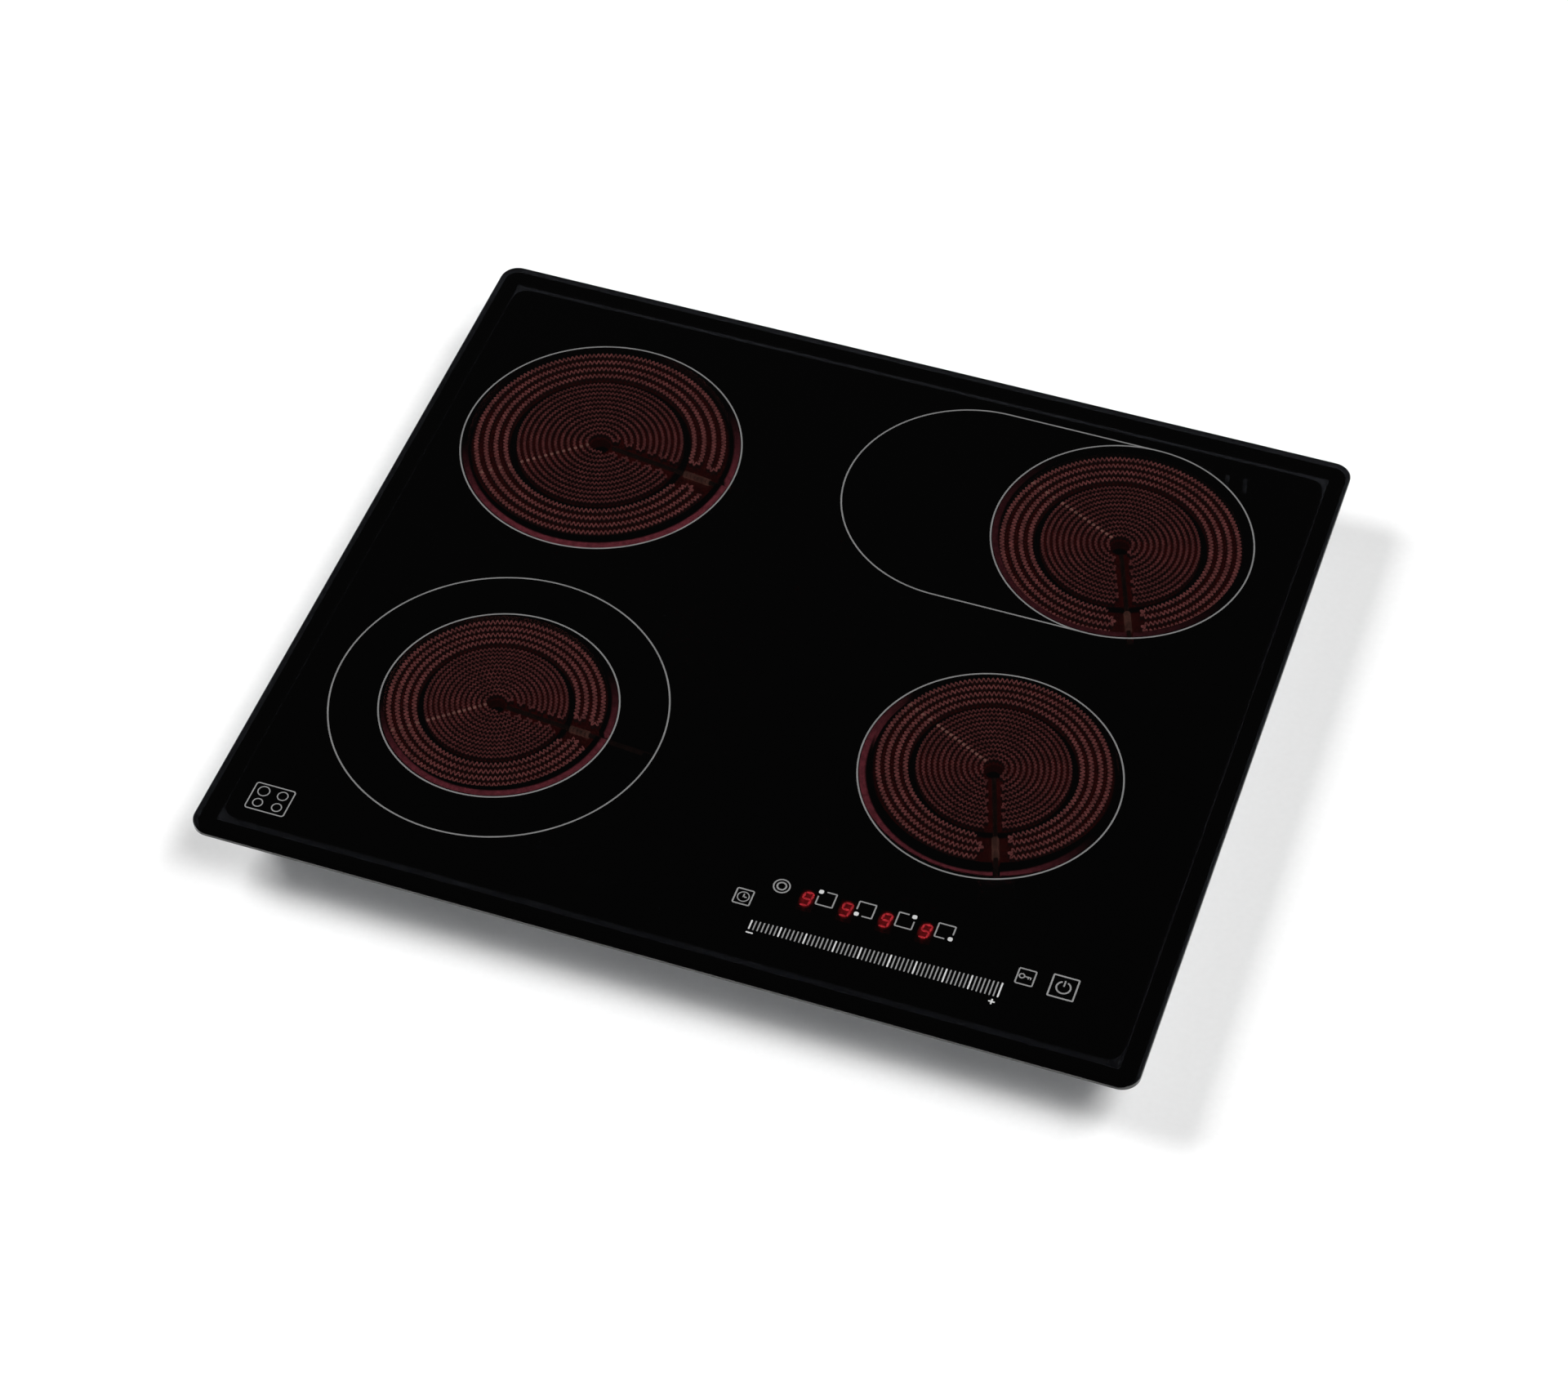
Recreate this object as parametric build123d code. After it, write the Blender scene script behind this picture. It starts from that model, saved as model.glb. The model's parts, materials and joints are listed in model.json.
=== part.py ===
from build123d import *
import os
from math import asin, cos, degrees, radians, sin

# A built-in glass-ceramic hob with four radiant zones, in millimetres.
# Origin: on the surface that the feet stand on, under the middle of the glass.
# +X is the right-hand side, +Z is up, and the cook stands at -Y.

# --- glass -----------------------------------------------------------------
GLASS_WIDTH = 590.0
GLASS_DEPTH = 520.0
GLASS_THICK = 4.0
GLASS_CORNER = 12.0
GLASS_ARRIS = 0.5
FACET_HEIGHT = 1.6
FACET_REACH = 2.6
TOP_Z = 54.0
UNDER_GLASS = TOP_Z - GLASS_THICK

# --- seal and bond ---------------------------------------------------------
SEAL_THICK = 2.0
SEAL_WIDTH = 10.0
SEAL_INSET = 3.0
BOND_THICK = 0.3
BOND_WIDTH = 4.0

# --- base pan --------------------------------------------------------------
SHEET = 1.0
PAN_HALF_X = 275.0
PAN_HALF_Y = 237.0
PAN_CORNER = 8.0
PAN_BOTTOM = 6.0
FLANGE = 6.0
FRONT_KNEE_Z = 30.0
FRONT_FOOT_Y = -214.0
PAN_TOP = UNDER_GLASS - BOND_THICK
FLOOR_TOP = PAN_BOTTOM + SHEET
FOOT_PLACES = [(x, y) for x in (-235.0, 235.0) for y in (-190.0, 205.0)]
FOOT_TIP_R = 8.0
FOOT_ROOT_R = 12.0
SLOT_WIDTH = 3.0
FLOOR_SLOT_LENGTH = 36.0
FLOOR_SLOT_X = 15.0
FLOOR_SLOT_ROWS = (-90.0, -20.0)
FLOOR_SLOTS = 9
WALL_SLOT_HEIGHT = 14.0
WALL_SLOT_LOW = 28.0
WALL_SLOT_X = 60.0
WALL_SLOTS = 15
SLOT_PITCH = 12.0

# --- cooking zones: centre of each printed ring, and the heater under it ----
# "shift" is how far the heater sits from the ring's centre, "ring" is the
# radius of the outline that the heater fills, "element" is the radius that the
# heating tracks are laid out from, "gap" is the direction of the slot that the
# limiter rod lies in, and "lip" is how far the insulation wall reaches inwards.
ZONES = {
    "rear_left": dict(x=-173.6, y=119.6, shift=(-3.6, 7.0), ring=91.7, element=91.4, gap=-7.0, lip=5.5),
    "front_left": dict(x=-154.0, y=-108.4, shift=(-4.0, 4.6), ring=74.2, element=74.8, gap=-4.5, lip=5.0),
    "front_right": dict(x=148.2, y=-63.8, shift=(-0.6, 9.8), ring=80.7, element=79.7, gap=-72.0, lip=5.0),
    "rear_right": dict(x=170.4, y=149.0, shift=(-1.0, 0.7), ring=81.0, element=85.5, gap=-70.0, lip=3.2),
}
DUAL_RING = 105.0
OVAL_LEFT_X = 70.0

# --- radiant heaters -------------------------------------------------------
GLASS_GAP = 0.3
DISH_BOTTOM = 26.0
DISH_SHEET = 0.8
DISH_TOP = 48.5
DISH_GROW = 4.6
WALL_GROW = 3.6
DUAL_LIP = 3.5
BED_TOP = 43.0
HEATER_TOP = UNDER_GLASS - GLASS_GAP
RIBBON_HEIGHT = 4.5
CORE_TRACKS = 12
CORE_FIRST = 0.095
CORE_LAST = 0.585
CORE_GAP = 0.045
CORE_THICK = 2.0
RIM_TRACKS = 4
RIM_FIRST = 0.675
RIM_LAST = 0.885
RIM_GAP = 0.088
RIM_THICK = 3.0
HOLE_SHARE = 0.068
HOLE_DEPTH = 6.0
DUAL_TRACKS = 4
DUAL_FIRST_R = 83.2
DUAL_LAST_R = 98.2
OVAL_TRACKS = 6
OVAL_FIRST_R = 31.0
OVAL_LAST_R = 72.0
OVAL_HALF_ANGLE = 66.0

# --- temperature limiter: rod, beads and switch head -----------------------
ROD_R = 1.5
ROD_Z = 45.3
ROD_SLOT = 4.4
BEAD_R = 2.3
BEAD_LENGTH = 2.4
BEAD_PITCH = 2.7
HEAD_LENGTH = 20.0
HEAD_WIDTH = 22.0
HEAD_LOW = 29.0
HEAD_HIGH = 47.5
TAB_LENGTH = 6.0
TAB_WIDTH = 0.8
TAB_HEIGHT = 6.3
TAB_Z = 33.0
TAB_PITCH = 6.5

# --- leaf springs under the dishes -----------------------------------------
LEAF_SHEET = 0.8
LEAF_WIDTH = 14.0
LEAF_SHARE = 0.5
LEAF_FOOT = 12.0
LEAF_RUN = 30.0
LEAF_CROWN = 26.0
LEAF_TOP = DISH_BOTTOM - GLASS_GAP

# --- touch controls --------------------------------------------------------
TRAY_X = (26.0, 252.0)
TRAY_Y = (-232.0, -168.0)
TRAY_LOW = 38.0
TRAY_WALL = 2.0
TRAY_POSTS = [(46.0, -190.0), (228.0, -190.0)]
POST_R = 4.0
BOARD_THICK = 1.6
TOUCH_BOARD_Z = 44.0
KEY_PLACES = [(38.1, -202.0), (57.0, -186.2), (212.7, -203.4), (235.5, -203.6)]
SELECTOR_X = [85.0 + 24.5 * i for i in range(4)]
SELECTOR_Y = -187.2
KEY_SPRING_R = 3.0
DIGIT_OFFSET = -11.9
DIGIT_Y = -187.8
DIGIT_SIZE = (9.0, 14.0, 3.0)

# --- power board -----------------------------------------------------------
POWER_X = (-8.0, 66.0)
POWER_Y = (-125.0, 45.0)
POWER_Z = 15.0
POWER_TOP = POWER_Z + BOARD_THICK
STANDOFF_R = 3.0
STANDOFF_INSET = 6.0
RELAYS = 6
RELAY_SIZE = (13.0, 20.0, 16.0)
RELAY_X = 18.0
RELAY_PITCH = 25.0
TRANSFORMER_SIZE = (26.0, 30.0, 20.0)
TRANSFORMER_PLACE = (46.0, -95.0)
CAPACITOR_R = 6.0
CAPACITOR_HEIGHT = 15.0
CAPACITOR_Y = [-60.0, -42.0, -24.0]
CAPACITOR_X = 48.0

# --- terminal box at the back ----------------------------------------------
BOX_X = (-75.0, -5.0)
BOX_Y = (200.0, PAN_HALF_Y)
BOX_Z = (13.0, 43.0)
BOX_WALL = 2.0
MOUTH_X = (-71.0, -29.0)
BUSH_X = -16.0
BUSH_Z = 27.0
BUSH_BORE_R = 4.5
BUSH_R = 6.5
BUSH_COLLAR_R = 8.5
BUSH_LENGTH = 12.0
COLLAR_LENGTH = 3.0
COVER_SHEET = 2.0
COVER_GAP = 0.4
HINGE_Y = PAN_HALF_Y + 3.0
HINGE_Z = 9.6
HINGE_R = 2.4
HINGE_PIN_R = 1.0
HINGE_PLAY = 0.06
LUG_THICK = 3.0
LUG_HIGH = 19.0
BARREL_LENGTH = 12.0
BLOCK_X = (-69.0, -31.0)
BLOCK_Y = (203.0, 217.0)
BLOCK_Z = (18.0, 36.0)
POLES = 5
POLE_PITCH = 7.2
POLE_SCREW_R = 2.4
POLE_SCREW_HEAD = 2.0

# --- clamps under the pan --------------------------------------------------
CLAMP_X = 256.0
CLAMP_PLACES = {
    "front_left": (-CLAMP_X, -140.0),
    "front_right": (CLAMP_X, -140.0),
    "rear_left": (-CLAMP_X, 150.0),
    "rear_right": (CLAMP_X, 150.0),
}
CLAMP_Z = 3.4
CLAMP_THICK = 2.0
CLAMP_WIDTH = 14.0
CLAMP_REACH = 34.0
CLAMP_PLAY = 0.06
SCREW_R = 2.0
SCREW_HEAD_R = 4.2
SCREW_HEAD_LOW = 1.2
SCREW_HEAD_HIGH = 3.1
SCREW_TIP = 13.0
RECESS = 0.9
EARTH_PLACE = (-20.0, 185.0)

# --- leads from the power board --------------------------------------------
LEAD_R = 2.0
LEAD_BEND = 7.0
LEAD_STANDOFF = 0.8
LEAD_DROP_Z = 36.0
LEAD_LOW_Z = 12.0


def block(x0, x1, y0, y1, z0, z1):
    """A box between two corners."""
    middle = ((x0 + x1) / 2, (y0 + y1) / 2, (z0 + z1) / 2)
    return Pos(*middle) * Box(x1 - x0, y1 - y0, z1 - z0)


def disc(x, y, r, z0, z1):
    """An upright cylinder."""
    return Pos(x, y, (z0 + z1) / 2) * Cylinder(r, z1 - z0)


def cone(x, y, r_low, r_high, z0, z1):
    """An upright cone frustum."""
    return Pos(x, y, (z0 + z1) / 2) * Cone(r_low, r_high, z1 - z0)


def slab(half_x, half_y, corner, z0, z1):
    """A plate with rounded corners, centred on the origin."""
    sketch = RectangleRounded(2 * half_x, 2 * half_y, corner)
    return Pos(0, 0, z0) * extrude(sketch, z1 - z0)


def rim(half_x, half_y, corner, width, z0, z1):
    """A rectangular frame of one width."""
    inner = slab(half_x - width, half_y - width, max(corner - width, 1.0), z0, z1)
    return slab(half_x, half_y, corner, z0, z1) - inner


def profile_along_x(points, x0, x1):
    """A prism along X with the section of the (y, z) points."""
    face = make_face(Polyline(*[(x0, y, z) for y, z in points], close=True))
    return extrude(face, x1 - x0, dir=(1, 0, 0))


def profile_along_y(points, y0, y1):
    """A prism along Y with the section of the (x, z) points."""
    face = make_face(Polyline(*[(x, y0, z) for x, z in points], close=True))
    return extrude(face, y1 - y0, dir=(0, 1, 0))


# --- zone outlines ---------------------------------------------------------
def heater_centre(zone):
    """Where the heater's own centre is, a little behind the printed ring's."""
    return zone["x"] + zone["shift"][0], zone["y"] + zone["shift"][1]


def oval_centre():
    """Centre of the oval heater's left-hand end."""
    zone = ZONES["rear_right"]
    return OVAL_LEFT_X + zone["shift"][0], heater_centre(zone)[1]


def dish_radius(name):
    """Radius of the outline that the whole heater fills."""
    return DUAL_RING if name == "front_left" else ZONES[name]["ring"]


def outline(name, grow, z0, z1):
    """The heater's outline as a prism, grown outwards."""
    x, y = heater_centre(ZONES[name])
    radius = dish_radius(name) + grow
    if name != "rear_right":
        return disc(x, y, radius, z0, z1)
    left = oval_centre()[0]
    middle = block(left, x, y - radius, y + radius, z0, z1)
    return disc(x, y, radius, z0, z1) + disc(left, y, radius, z0, z1) + middle


def spoke(name, r0, r1, width, z0, z1):
    """A bar along the heater's gap direction, from radius r0 to r1."""
    zone = ZONES[name]
    x, y = heater_centre(zone)
    bar = block(r0, r1, -width / 2, width / 2, z0, z1)
    return Pos(x, y, 0) * Rot(0, 0, zone["gap"]) * bar


def spoke_rod(name, r0, r1, radius, z):
    """A round rod along the heater's gap direction."""
    zone = ZONES[name]
    x, y = heater_centre(zone)
    rod = Pos((r0 + r1) / 2, 0, z) * Rot(0, 90, 0) * Cylinder(radius, r1 - r0)
    return Pos(x, y, 0) * Rot(0, 0, zone["gap"]) * rod


def spoke_point(name, r, z):
    """A point along the heater's gap direction."""
    zone = ZONES[name]
    x, y = heater_centre(zone)
    turn = radians(zone["gap"])
    return (x + r * cos(turn), y + r * sin(turn), z)


# --- heating tracks --------------------------------------------------------
def spread(first, last, count):
    """Evenly spaced values from first to last."""
    return [first + (last - first) * i / (count - 1) for i in range(count)]


def serpentine(centre, radii, gap_angle, half_angle):
    """The arcs of one track that doubles back at the gap.

    Each arc is (x, y, radius, start angle, sweep). half_angle gives how far
    from the gap's middle a track of some radius ends.
    """
    def middle(i, j):
        return (radii[i] + radii[j]) / 2 if 0 <= j < len(radii) else radii[i]

    arcs = []
    for i, radius in enumerate(radii):
        even = i % 2 == 0
        near = half_angle(middle(i, i + 1 if even else i - 1))
        far = half_angle(middle(i, i - 1 if even else i + 1))
        sweep = 360.0 - near - far
        start = gap_angle - far if even else gap_angle + near
        arcs.append((centre[0], centre[1], radius, start, -sweep if even else sweep))
        if i + 1 == len(radii):
            break
        turn_at = gap_angle + near if even else gap_angle - far
        turn_r = (radii[i + 1] - radius) / 2
        turn_x = centre[0] + (radius + turn_r) * cos(radians(turn_at))
        turn_y = centre[1] + (radius + turn_r) * sin(radians(turn_at))
        arcs.append((turn_x, turn_y, turn_r, turn_at + 180.0, 180.0 if even else -180.0))
    return arcs


def track_side(arcs, offset):
    """The arcs moved sideways: offset is positive to the left of the travel."""
    edges = []
    for x, y, radius, start, sweep in arcs:
        side = radius - offset if sweep > 0 else radius + offset
        edges.append(CenterArc((x, y), side, start, sweep))
    return edges


def ribbon(arcs, thickness):
    """A flat strip standing on edge along the arcs."""
    left = track_side(arcs, thickness / 2)
    right = track_side(arcs, -thickness / 2)
    caps = [Line(left[0] @ 0, right[0] @ 0), Line(left[-1] @ 1, right[-1] @ 1)]
    face = make_face(Wire(list(left) + [caps[1]] + list(right) + [caps[0]]))
    return Pos(0, 0, BED_TOP) * extrude(face, RIBBON_HEIGHT, dir=(0, 0, 1))


def gap_angle_of(half_gap):
    """A track's end angle for a gap with straight, parallel sides."""
    return lambda radius: degrees(asin(min(half_gap / radius, 0.9)))


def zone_tracks(name, first, last, count, gap_share, thickness):
    """One round group of tracks in a zone."""
    zone = ZONES[name]
    size = zone["element"]
    radii = spread(first * size, last * size, count)
    turn_reach = (radii[1] - radii[0]) / 2 + thickness / 2
    half_angle = gap_angle_of(gap_share * size + turn_reach)
    return ribbon(serpentine(heater_centre(zone), radii, zone["gap"], half_angle), thickness)


def core_element(name):
    """The fine inner heating ribbon."""
    return zone_tracks(name, CORE_FIRST, CORE_LAST, CORE_TRACKS, CORE_GAP, CORE_THICK)


def rim_element(name):
    """The four wide outer tracks."""
    return zone_tracks(name, RIM_FIRST, RIM_LAST, RIM_TRACKS, RIM_GAP, RIM_THICK)


def dual_element():
    """The second ring of the two-ring zone."""
    zone = ZONES["front_left"]
    radii = spread(DUAL_FIRST_R, DUAL_LAST_R, DUAL_TRACKS)
    half_angle = gap_angle_of(RIM_GAP * zone["element"] + (radii[1] - radii[0]) / 2 + RIM_THICK / 2)
    return ribbon(serpentine(heater_centre(zone), radii, zone["gap"], half_angle), RIM_THICK)


def oval_element():
    """The half-moon extension of the oval zone."""
    radii = spread(OVAL_FIRST_R, OVAL_LAST_R, OVAL_TRACKS)
    return ribbon(serpentine(oval_centre(), radii, 0.0, lambda radius: OVAL_HALF_ANGLE), RIM_THICK)


# --- heater bodies ---------------------------------------------------------
def heater_dish(name):
    """Pressed steel dish that holds the insulation."""
    dish = outline(name, DISH_GROW, DISH_BOTTOM, DISH_TOP)
    dish -= outline(name, DISH_GROW - DISH_SHEET, DISH_BOTTOM + DISH_SHEET, DISH_TOP + 1)
    reach = dish_radius(name)
    return dish - spoke(name, reach, reach + 2 * DISH_GROW, ROD_SLOT, BED_TOP, DISH_TOP + 1)


def insulation_base(name):
    """Moulded bed that the ribbons stand on, with the hole in its middle."""
    x, y = heater_centre(ZONES[name])
    bed = outline(name, WALL_GROW, DISH_BOTTOM + DISH_SHEET, BED_TOP)
    hole_r = HOLE_SHARE * ZONES[name]["element"]
    return bed - disc(x, y, hole_r, BED_TOP - HOLE_DEPTH, BED_TOP + 1)


def divider(name):
    """Wall between the round heater and its switched extension."""
    x, y = heater_centre(ZONES[name])
    ring = ZONES[name]["ring"]
    wall = disc(x, y, ring + WALL_GROW, BED_TOP, HEATER_TOP)
    wall -= disc(x, y, ring - ZONES[name]["lip"], BED_TOP, HEATER_TOP)
    if name == "rear_right":
        wall &= outline(name, -ZONES[name]["lip"] - GLASS_GAP, BED_TOP, HEATER_TOP)
        wall &= block(OVAL_LEFT_X - ring, x, y - ring, y + ring, BED_TOP, HEATER_TOP)
    return wall - spoke(name, 0, ring * 2, ROD_SLOT, BED_TOP, HEATER_TOP)


def insulation_wall(name):
    """Edge wall, and the divider where the zone has an extension."""
    lip = DUAL_LIP if name == "front_left" else ZONES[name]["lip"]
    wall = outline(name, WALL_GROW, BED_TOP, HEATER_TOP)
    wall -= outline(name, -lip, BED_TOP, HEATER_TOP)
    wall -= spoke(name, 0, dish_radius(name) * 2, ROD_SLOT, BED_TOP, HEATER_TOP)
    walls = list(wall.solids())
    if name in ("front_left", "rear_right"):
        walls += list(divider(name).solids())
    return Compound(children=walls)


def limiter_rod(name):
    """Quartz rod of the temperature limiter, with the ceramic beads on it."""
    size = ZONES[name]["element"]
    rod = spoke_rod(name, CORE_FIRST * size, dish_radius(name) + DISH_GROW, ROD_R, ROD_Z)
    first = RIM_FIRST * size
    beads = []
    for i in range(int((RIM_LAST - RIM_FIRST) * size / BEAD_PITCH)):
        start = first + i * BEAD_PITCH
        bead = spoke_rod(name, start, start + BEAD_LENGTH, BEAD_R, ROD_Z)
        beads.append(bead - spoke_rod(name, start - 1, start + BEAD_LENGTH + 1, ROD_R, ROD_Z))
    return Compound(children=[rod] + beads)


def limiter_head(name):
    """Ceramic switch head on the dish's edge, with its blade tabs."""
    reach = dish_radius(name) + DISH_GROW
    end = reach + HEAD_LENGTH
    head = spoke(name, reach, end, HEAD_WIDTH, HEAD_LOW, HEAD_HIGH)
    head -= spoke(name, reach - 1, reach + 1.5, HEAD_WIDTH - 8, HEAD_LOW - 1, HEAD_LOW + 8)
    for side in (-1, 0, 1):
        tab = block(end - 1, end + TAB_LENGTH, -TAB_WIDTH / 2, TAB_WIDTH / 2,
                    TAB_Z - TAB_HEIGHT / 2, TAB_Z + TAB_HEIGHT / 2)
        x, y = heater_centre(ZONES[name])
        head += Pos(x, y, 0) * Rot(0, 0, ZONES[name]["gap"]) * Pos(0, side * TAB_PITCH, 0) * tab
    return head


def leaf_springs(name):
    """Two bowed leaf springs that press the dish up against the glass."""
    x, y = heater_centre(ZONES[name])
    knee = LEAF_CROWN / 2 + LEAF_RUN
    foot = knee + LEAF_FOOT
    low = FLOOR_TOP
    top = LEAF_TOP
    upper = [(foot, low + LEAF_SHEET), (knee, low + LEAF_SHEET), (LEAF_CROWN / 2, top)]
    lower = [(LEAF_CROWN / 2 - 1, top - LEAF_SHEET), (knee - 1, low), (foot, low)]
    half = upper + [(-px, pz) for px, pz in reversed(upper)]
    back = [(-px, pz) for px, pz in reversed(lower)] + lower
    section = [(x + px, pz) for px, pz in half + back]
    reach = dish_radius(name) * LEAF_SHARE
    leaves = []
    for side in (-1, 1):
        edge = y + side * reach - LEAF_WIDTH / 2
        leaves.append(profile_along_y(section, edge, edge + LEAF_WIDTH))
    return Compound(children=leaves)


# --- glass and seal --------------------------------------------------------
def glass_panel():
    """Ceramic glass with rounded corners and a ground facet at the front."""
    glass = slab(GLASS_WIDTH / 2, GLASS_DEPTH / 2, GLASS_CORNER, UNDER_GLASS, TOP_Z)
    glass = chamfer(glass.faces().sort_by(Axis.Z)[-1].edges(), GLASS_ARRIS)
    glass = chamfer(glass.faces().sort_by(Axis.Z)[0].edges(), GLASS_ARRIS)
    front = -GLASS_DEPTH / 2
    wedge = [(front - 1, TOP_Z + 1), (front + FACET_REACH + 1, TOP_Z + 1), (front + FACET_REACH, TOP_Z),
             (front, TOP_Z - FACET_HEIGHT), (front - 1, TOP_Z - FACET_HEIGHT)]
    return glass - profile_along_x(wedge, -GLASS_WIDTH, GLASS_WIDTH)


def glass_seal():
    """Foam tape that the glass rests on the worktop with."""
    half_x = GLASS_WIDTH / 2 - SEAL_INSET
    half_y = GLASS_DEPTH / 2 - SEAL_INSET
    return rim(half_x, half_y, GLASS_CORNER - SEAL_INSET, SEAL_WIDTH, UNDER_GLASS - SEAL_THICK, UNDER_GLASS)


def silicone_bond():
    """Silicone line that bonds the pan's flange to the glass."""
    half_x = PAN_HALF_X + FLANGE - 1
    half_y = PAN_HALF_Y + FLANGE - 1
    return rim(half_x, half_y, PAN_CORNER, BOND_WIDTH, PAN_TOP, UNDER_GLASS)


# --- base pan --------------------------------------------------------------
def pan_section(inset):
    """The pan's side section as (y, z), with its front wall drawn back below."""
    front = -PAN_HALF_Y + inset
    back = PAN_HALF_Y - inset
    floor = PAN_BOTTOM + inset
    return [(front, PAN_TOP), (front, FRONT_KNEE_Z), (FRONT_FOOT_Y + inset / 2, floor),
            (back, floor), (back, PAN_TOP)]


def pan_block(inset):
    """The pan's outer or inner volume."""
    half_x = PAN_HALF_X - inset
    prism = profile_along_x(pan_section(inset), -half_x, half_x)
    return prism & slab(half_x, PAN_HALF_Y - inset, PAN_CORNER - inset, 0, PAN_TOP)


def floor_slots():
    """Ventilation slots under the power board."""
    slots = []
    end = FLOOR_SLOT_X + FLOOR_SLOT_LENGTH
    for row in FLOOR_SLOT_ROWS:
        for i in range(FLOOR_SLOTS):
            y = row + (i - FLOOR_SLOTS // 2) * 2 * SLOT_WIDTH
            slots.append(block(FLOOR_SLOT_X, end, y, y + SLOT_WIDTH, 0, FLOOR_TOP + 1))
    return slots


def wall_slots():
    """Ventilation slots in the back wall, beside the terminal box."""
    slots = []
    high = WALL_SLOT_LOW + WALL_SLOT_HEIGHT
    for i in range(WALL_SLOTS):
        x = WALL_SLOT_X + i * SLOT_PITCH
        slots.append(block(x, x + SLOT_WIDTH, PAN_HALF_Y - 2, PAN_HALF_Y + 2, WALL_SLOT_LOW, high))
    return slots


def base_pan():
    """Pressed steel pan with a glued flange, embossed feet and slots."""
    pan = pan_block(0)
    pan += rim(PAN_HALF_X + FLANGE, PAN_HALF_Y + FLANGE, PAN_CORNER + FLANGE, FLANGE + SHEET / 2,
               PAN_TOP - SHEET, PAN_TOP)
    for x, y in FOOT_PLACES:
        pan += cone(x, y, FOOT_TIP_R, FOOT_ROOT_R, 0, PAN_BOTTOM)
    pan -= pan_block(SHEET)
    for x, y in FOOT_PLACES:
        pan -= cone(x, y, FOOT_TIP_R - SHEET, FOOT_ROOT_R - SHEET / 2, SHEET, FLOOR_TOP)
    for slot in floor_slots() + wall_slots():
        pan -= slot
    pan -= block(BOX_X[0], BOX_X[1], PAN_HALF_Y - 2 * SHEET, PAN_HALF_Y + 1, BOX_Z[0], BOX_Z[1])
    for x, y in list(CLAMP_PLACES.values()) + [EARTH_PLACE]:
        pan -= disc(x, y, SCREW_R, 0, FLOOR_TOP + 1)
    return pan


# --- touch controls --------------------------------------------------------
def touch_carrier():
    """Plastic tray glued under the glass, on two posts."""
    tray = block(*TRAY_X, *TRAY_Y, TRAY_LOW, UNDER_GLASS)
    tray -= block(TRAY_X[0] + TRAY_WALL, TRAY_X[1] - TRAY_WALL, TRAY_Y[0] + TRAY_WALL,
                  TRAY_Y[1] - TRAY_WALL, TRAY_LOW + TRAY_WALL, UNDER_GLASS + 1)
    for x, y in TRAY_POSTS:
        tray += disc(x, y, POST_R, FLOOR_TOP, TRAY_LOW)
        tray += disc(x, y, POST_R, TRAY_LOW, TOUCH_BOARD_Z)
    return tray


def touch_board():
    """Circuit board of the touch keys."""
    clear = TRAY_WALL + 1
    return block(TRAY_X[0] + clear, TRAY_X[1] - clear, TRAY_Y[0] + clear, TRAY_Y[1] - clear,
                 TOUCH_BOARD_Z, TOUCH_BOARD_Z + BOARD_THICK)


def touch_springs():
    """Sprung contact under each touch key."""
    places = KEY_PLACES + [(x, SELECTOR_Y) for x in SELECTOR_X]
    low = TOUCH_BOARD_Z + BOARD_THICK
    return Compound(children=[disc(x, y, KEY_SPRING_R, low, UNDER_GLASS) for x, y in places])


def digit_displays():
    """Seven-segment display beside each zone selector."""
    low = TOUCH_BOARD_Z + BOARD_THICK
    width, length, height = DIGIT_SIZE
    digits = []
    for x in SELECTOR_X:
        middle = x + DIGIT_OFFSET
        digits.append(block(middle - width / 2, middle + width / 2, DIGIT_Y - length / 2,
                            DIGIT_Y + length / 2, low, low + height))
    return Compound(children=digits)


# --- power board -----------------------------------------------------------
def power_board():
    """Board that switches the heaters."""
    return block(*POWER_X, *POWER_Y, POWER_Z, POWER_TOP)


def board_standoffs():
    """Four posts under the power board."""
    inset = STANDOFF_INSET
    places = [(x, y) for x in (POWER_X[0] + inset, POWER_X[1] - inset)
              for y in (POWER_Y[0] + inset, POWER_Y[1] - inset)]
    return Compound(children=[disc(x, y, STANDOFF_R, FLOOR_TOP, POWER_Z) for x, y in places])


def power_relays():
    """One relay for each heating circuit."""
    width, length, height = RELAY_SIZE
    relays = []
    for i in range(RELAYS):
        y = POWER_Y[0] + 22.0 + i * RELAY_PITCH
        relays.append(block(RELAY_X - width / 2, RELAY_X + width / 2, y - length / 2, y + length / 2,
                            POWER_TOP, POWER_TOP + height))
    return Compound(children=relays)


def board_parts():
    """Supply transformer and smoothing capacitors."""
    width, length, height = TRANSFORMER_SIZE
    x, y = TRANSFORMER_PLACE
    parts = [block(x - width / 2, x + width / 2, y - length / 2, y + length / 2,
                   POWER_TOP, POWER_TOP + height)]
    for place in CAPACITOR_Y:
        parts.append(disc(CAPACITOR_X, place, CAPACITOR_R, POWER_TOP, POWER_TOP + CAPACITOR_HEIGHT))
    return Compound(children=parts)


# --- terminal box ----------------------------------------------------------
def along_y(x, z, r, y0, y1):
    """A cylinder along Y."""
    return Pos(x, (y0 + y1) / 2, z) * Rot(90, 0, 0) * Cylinder(r, y1 - y0)


def along_x(y, z, r, x0, x1):
    """A cylinder along X."""
    return Pos((x0 + x1) / 2, y, z) * Rot(0, 90, 0) * Cylinder(r, x1 - x0)


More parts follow.
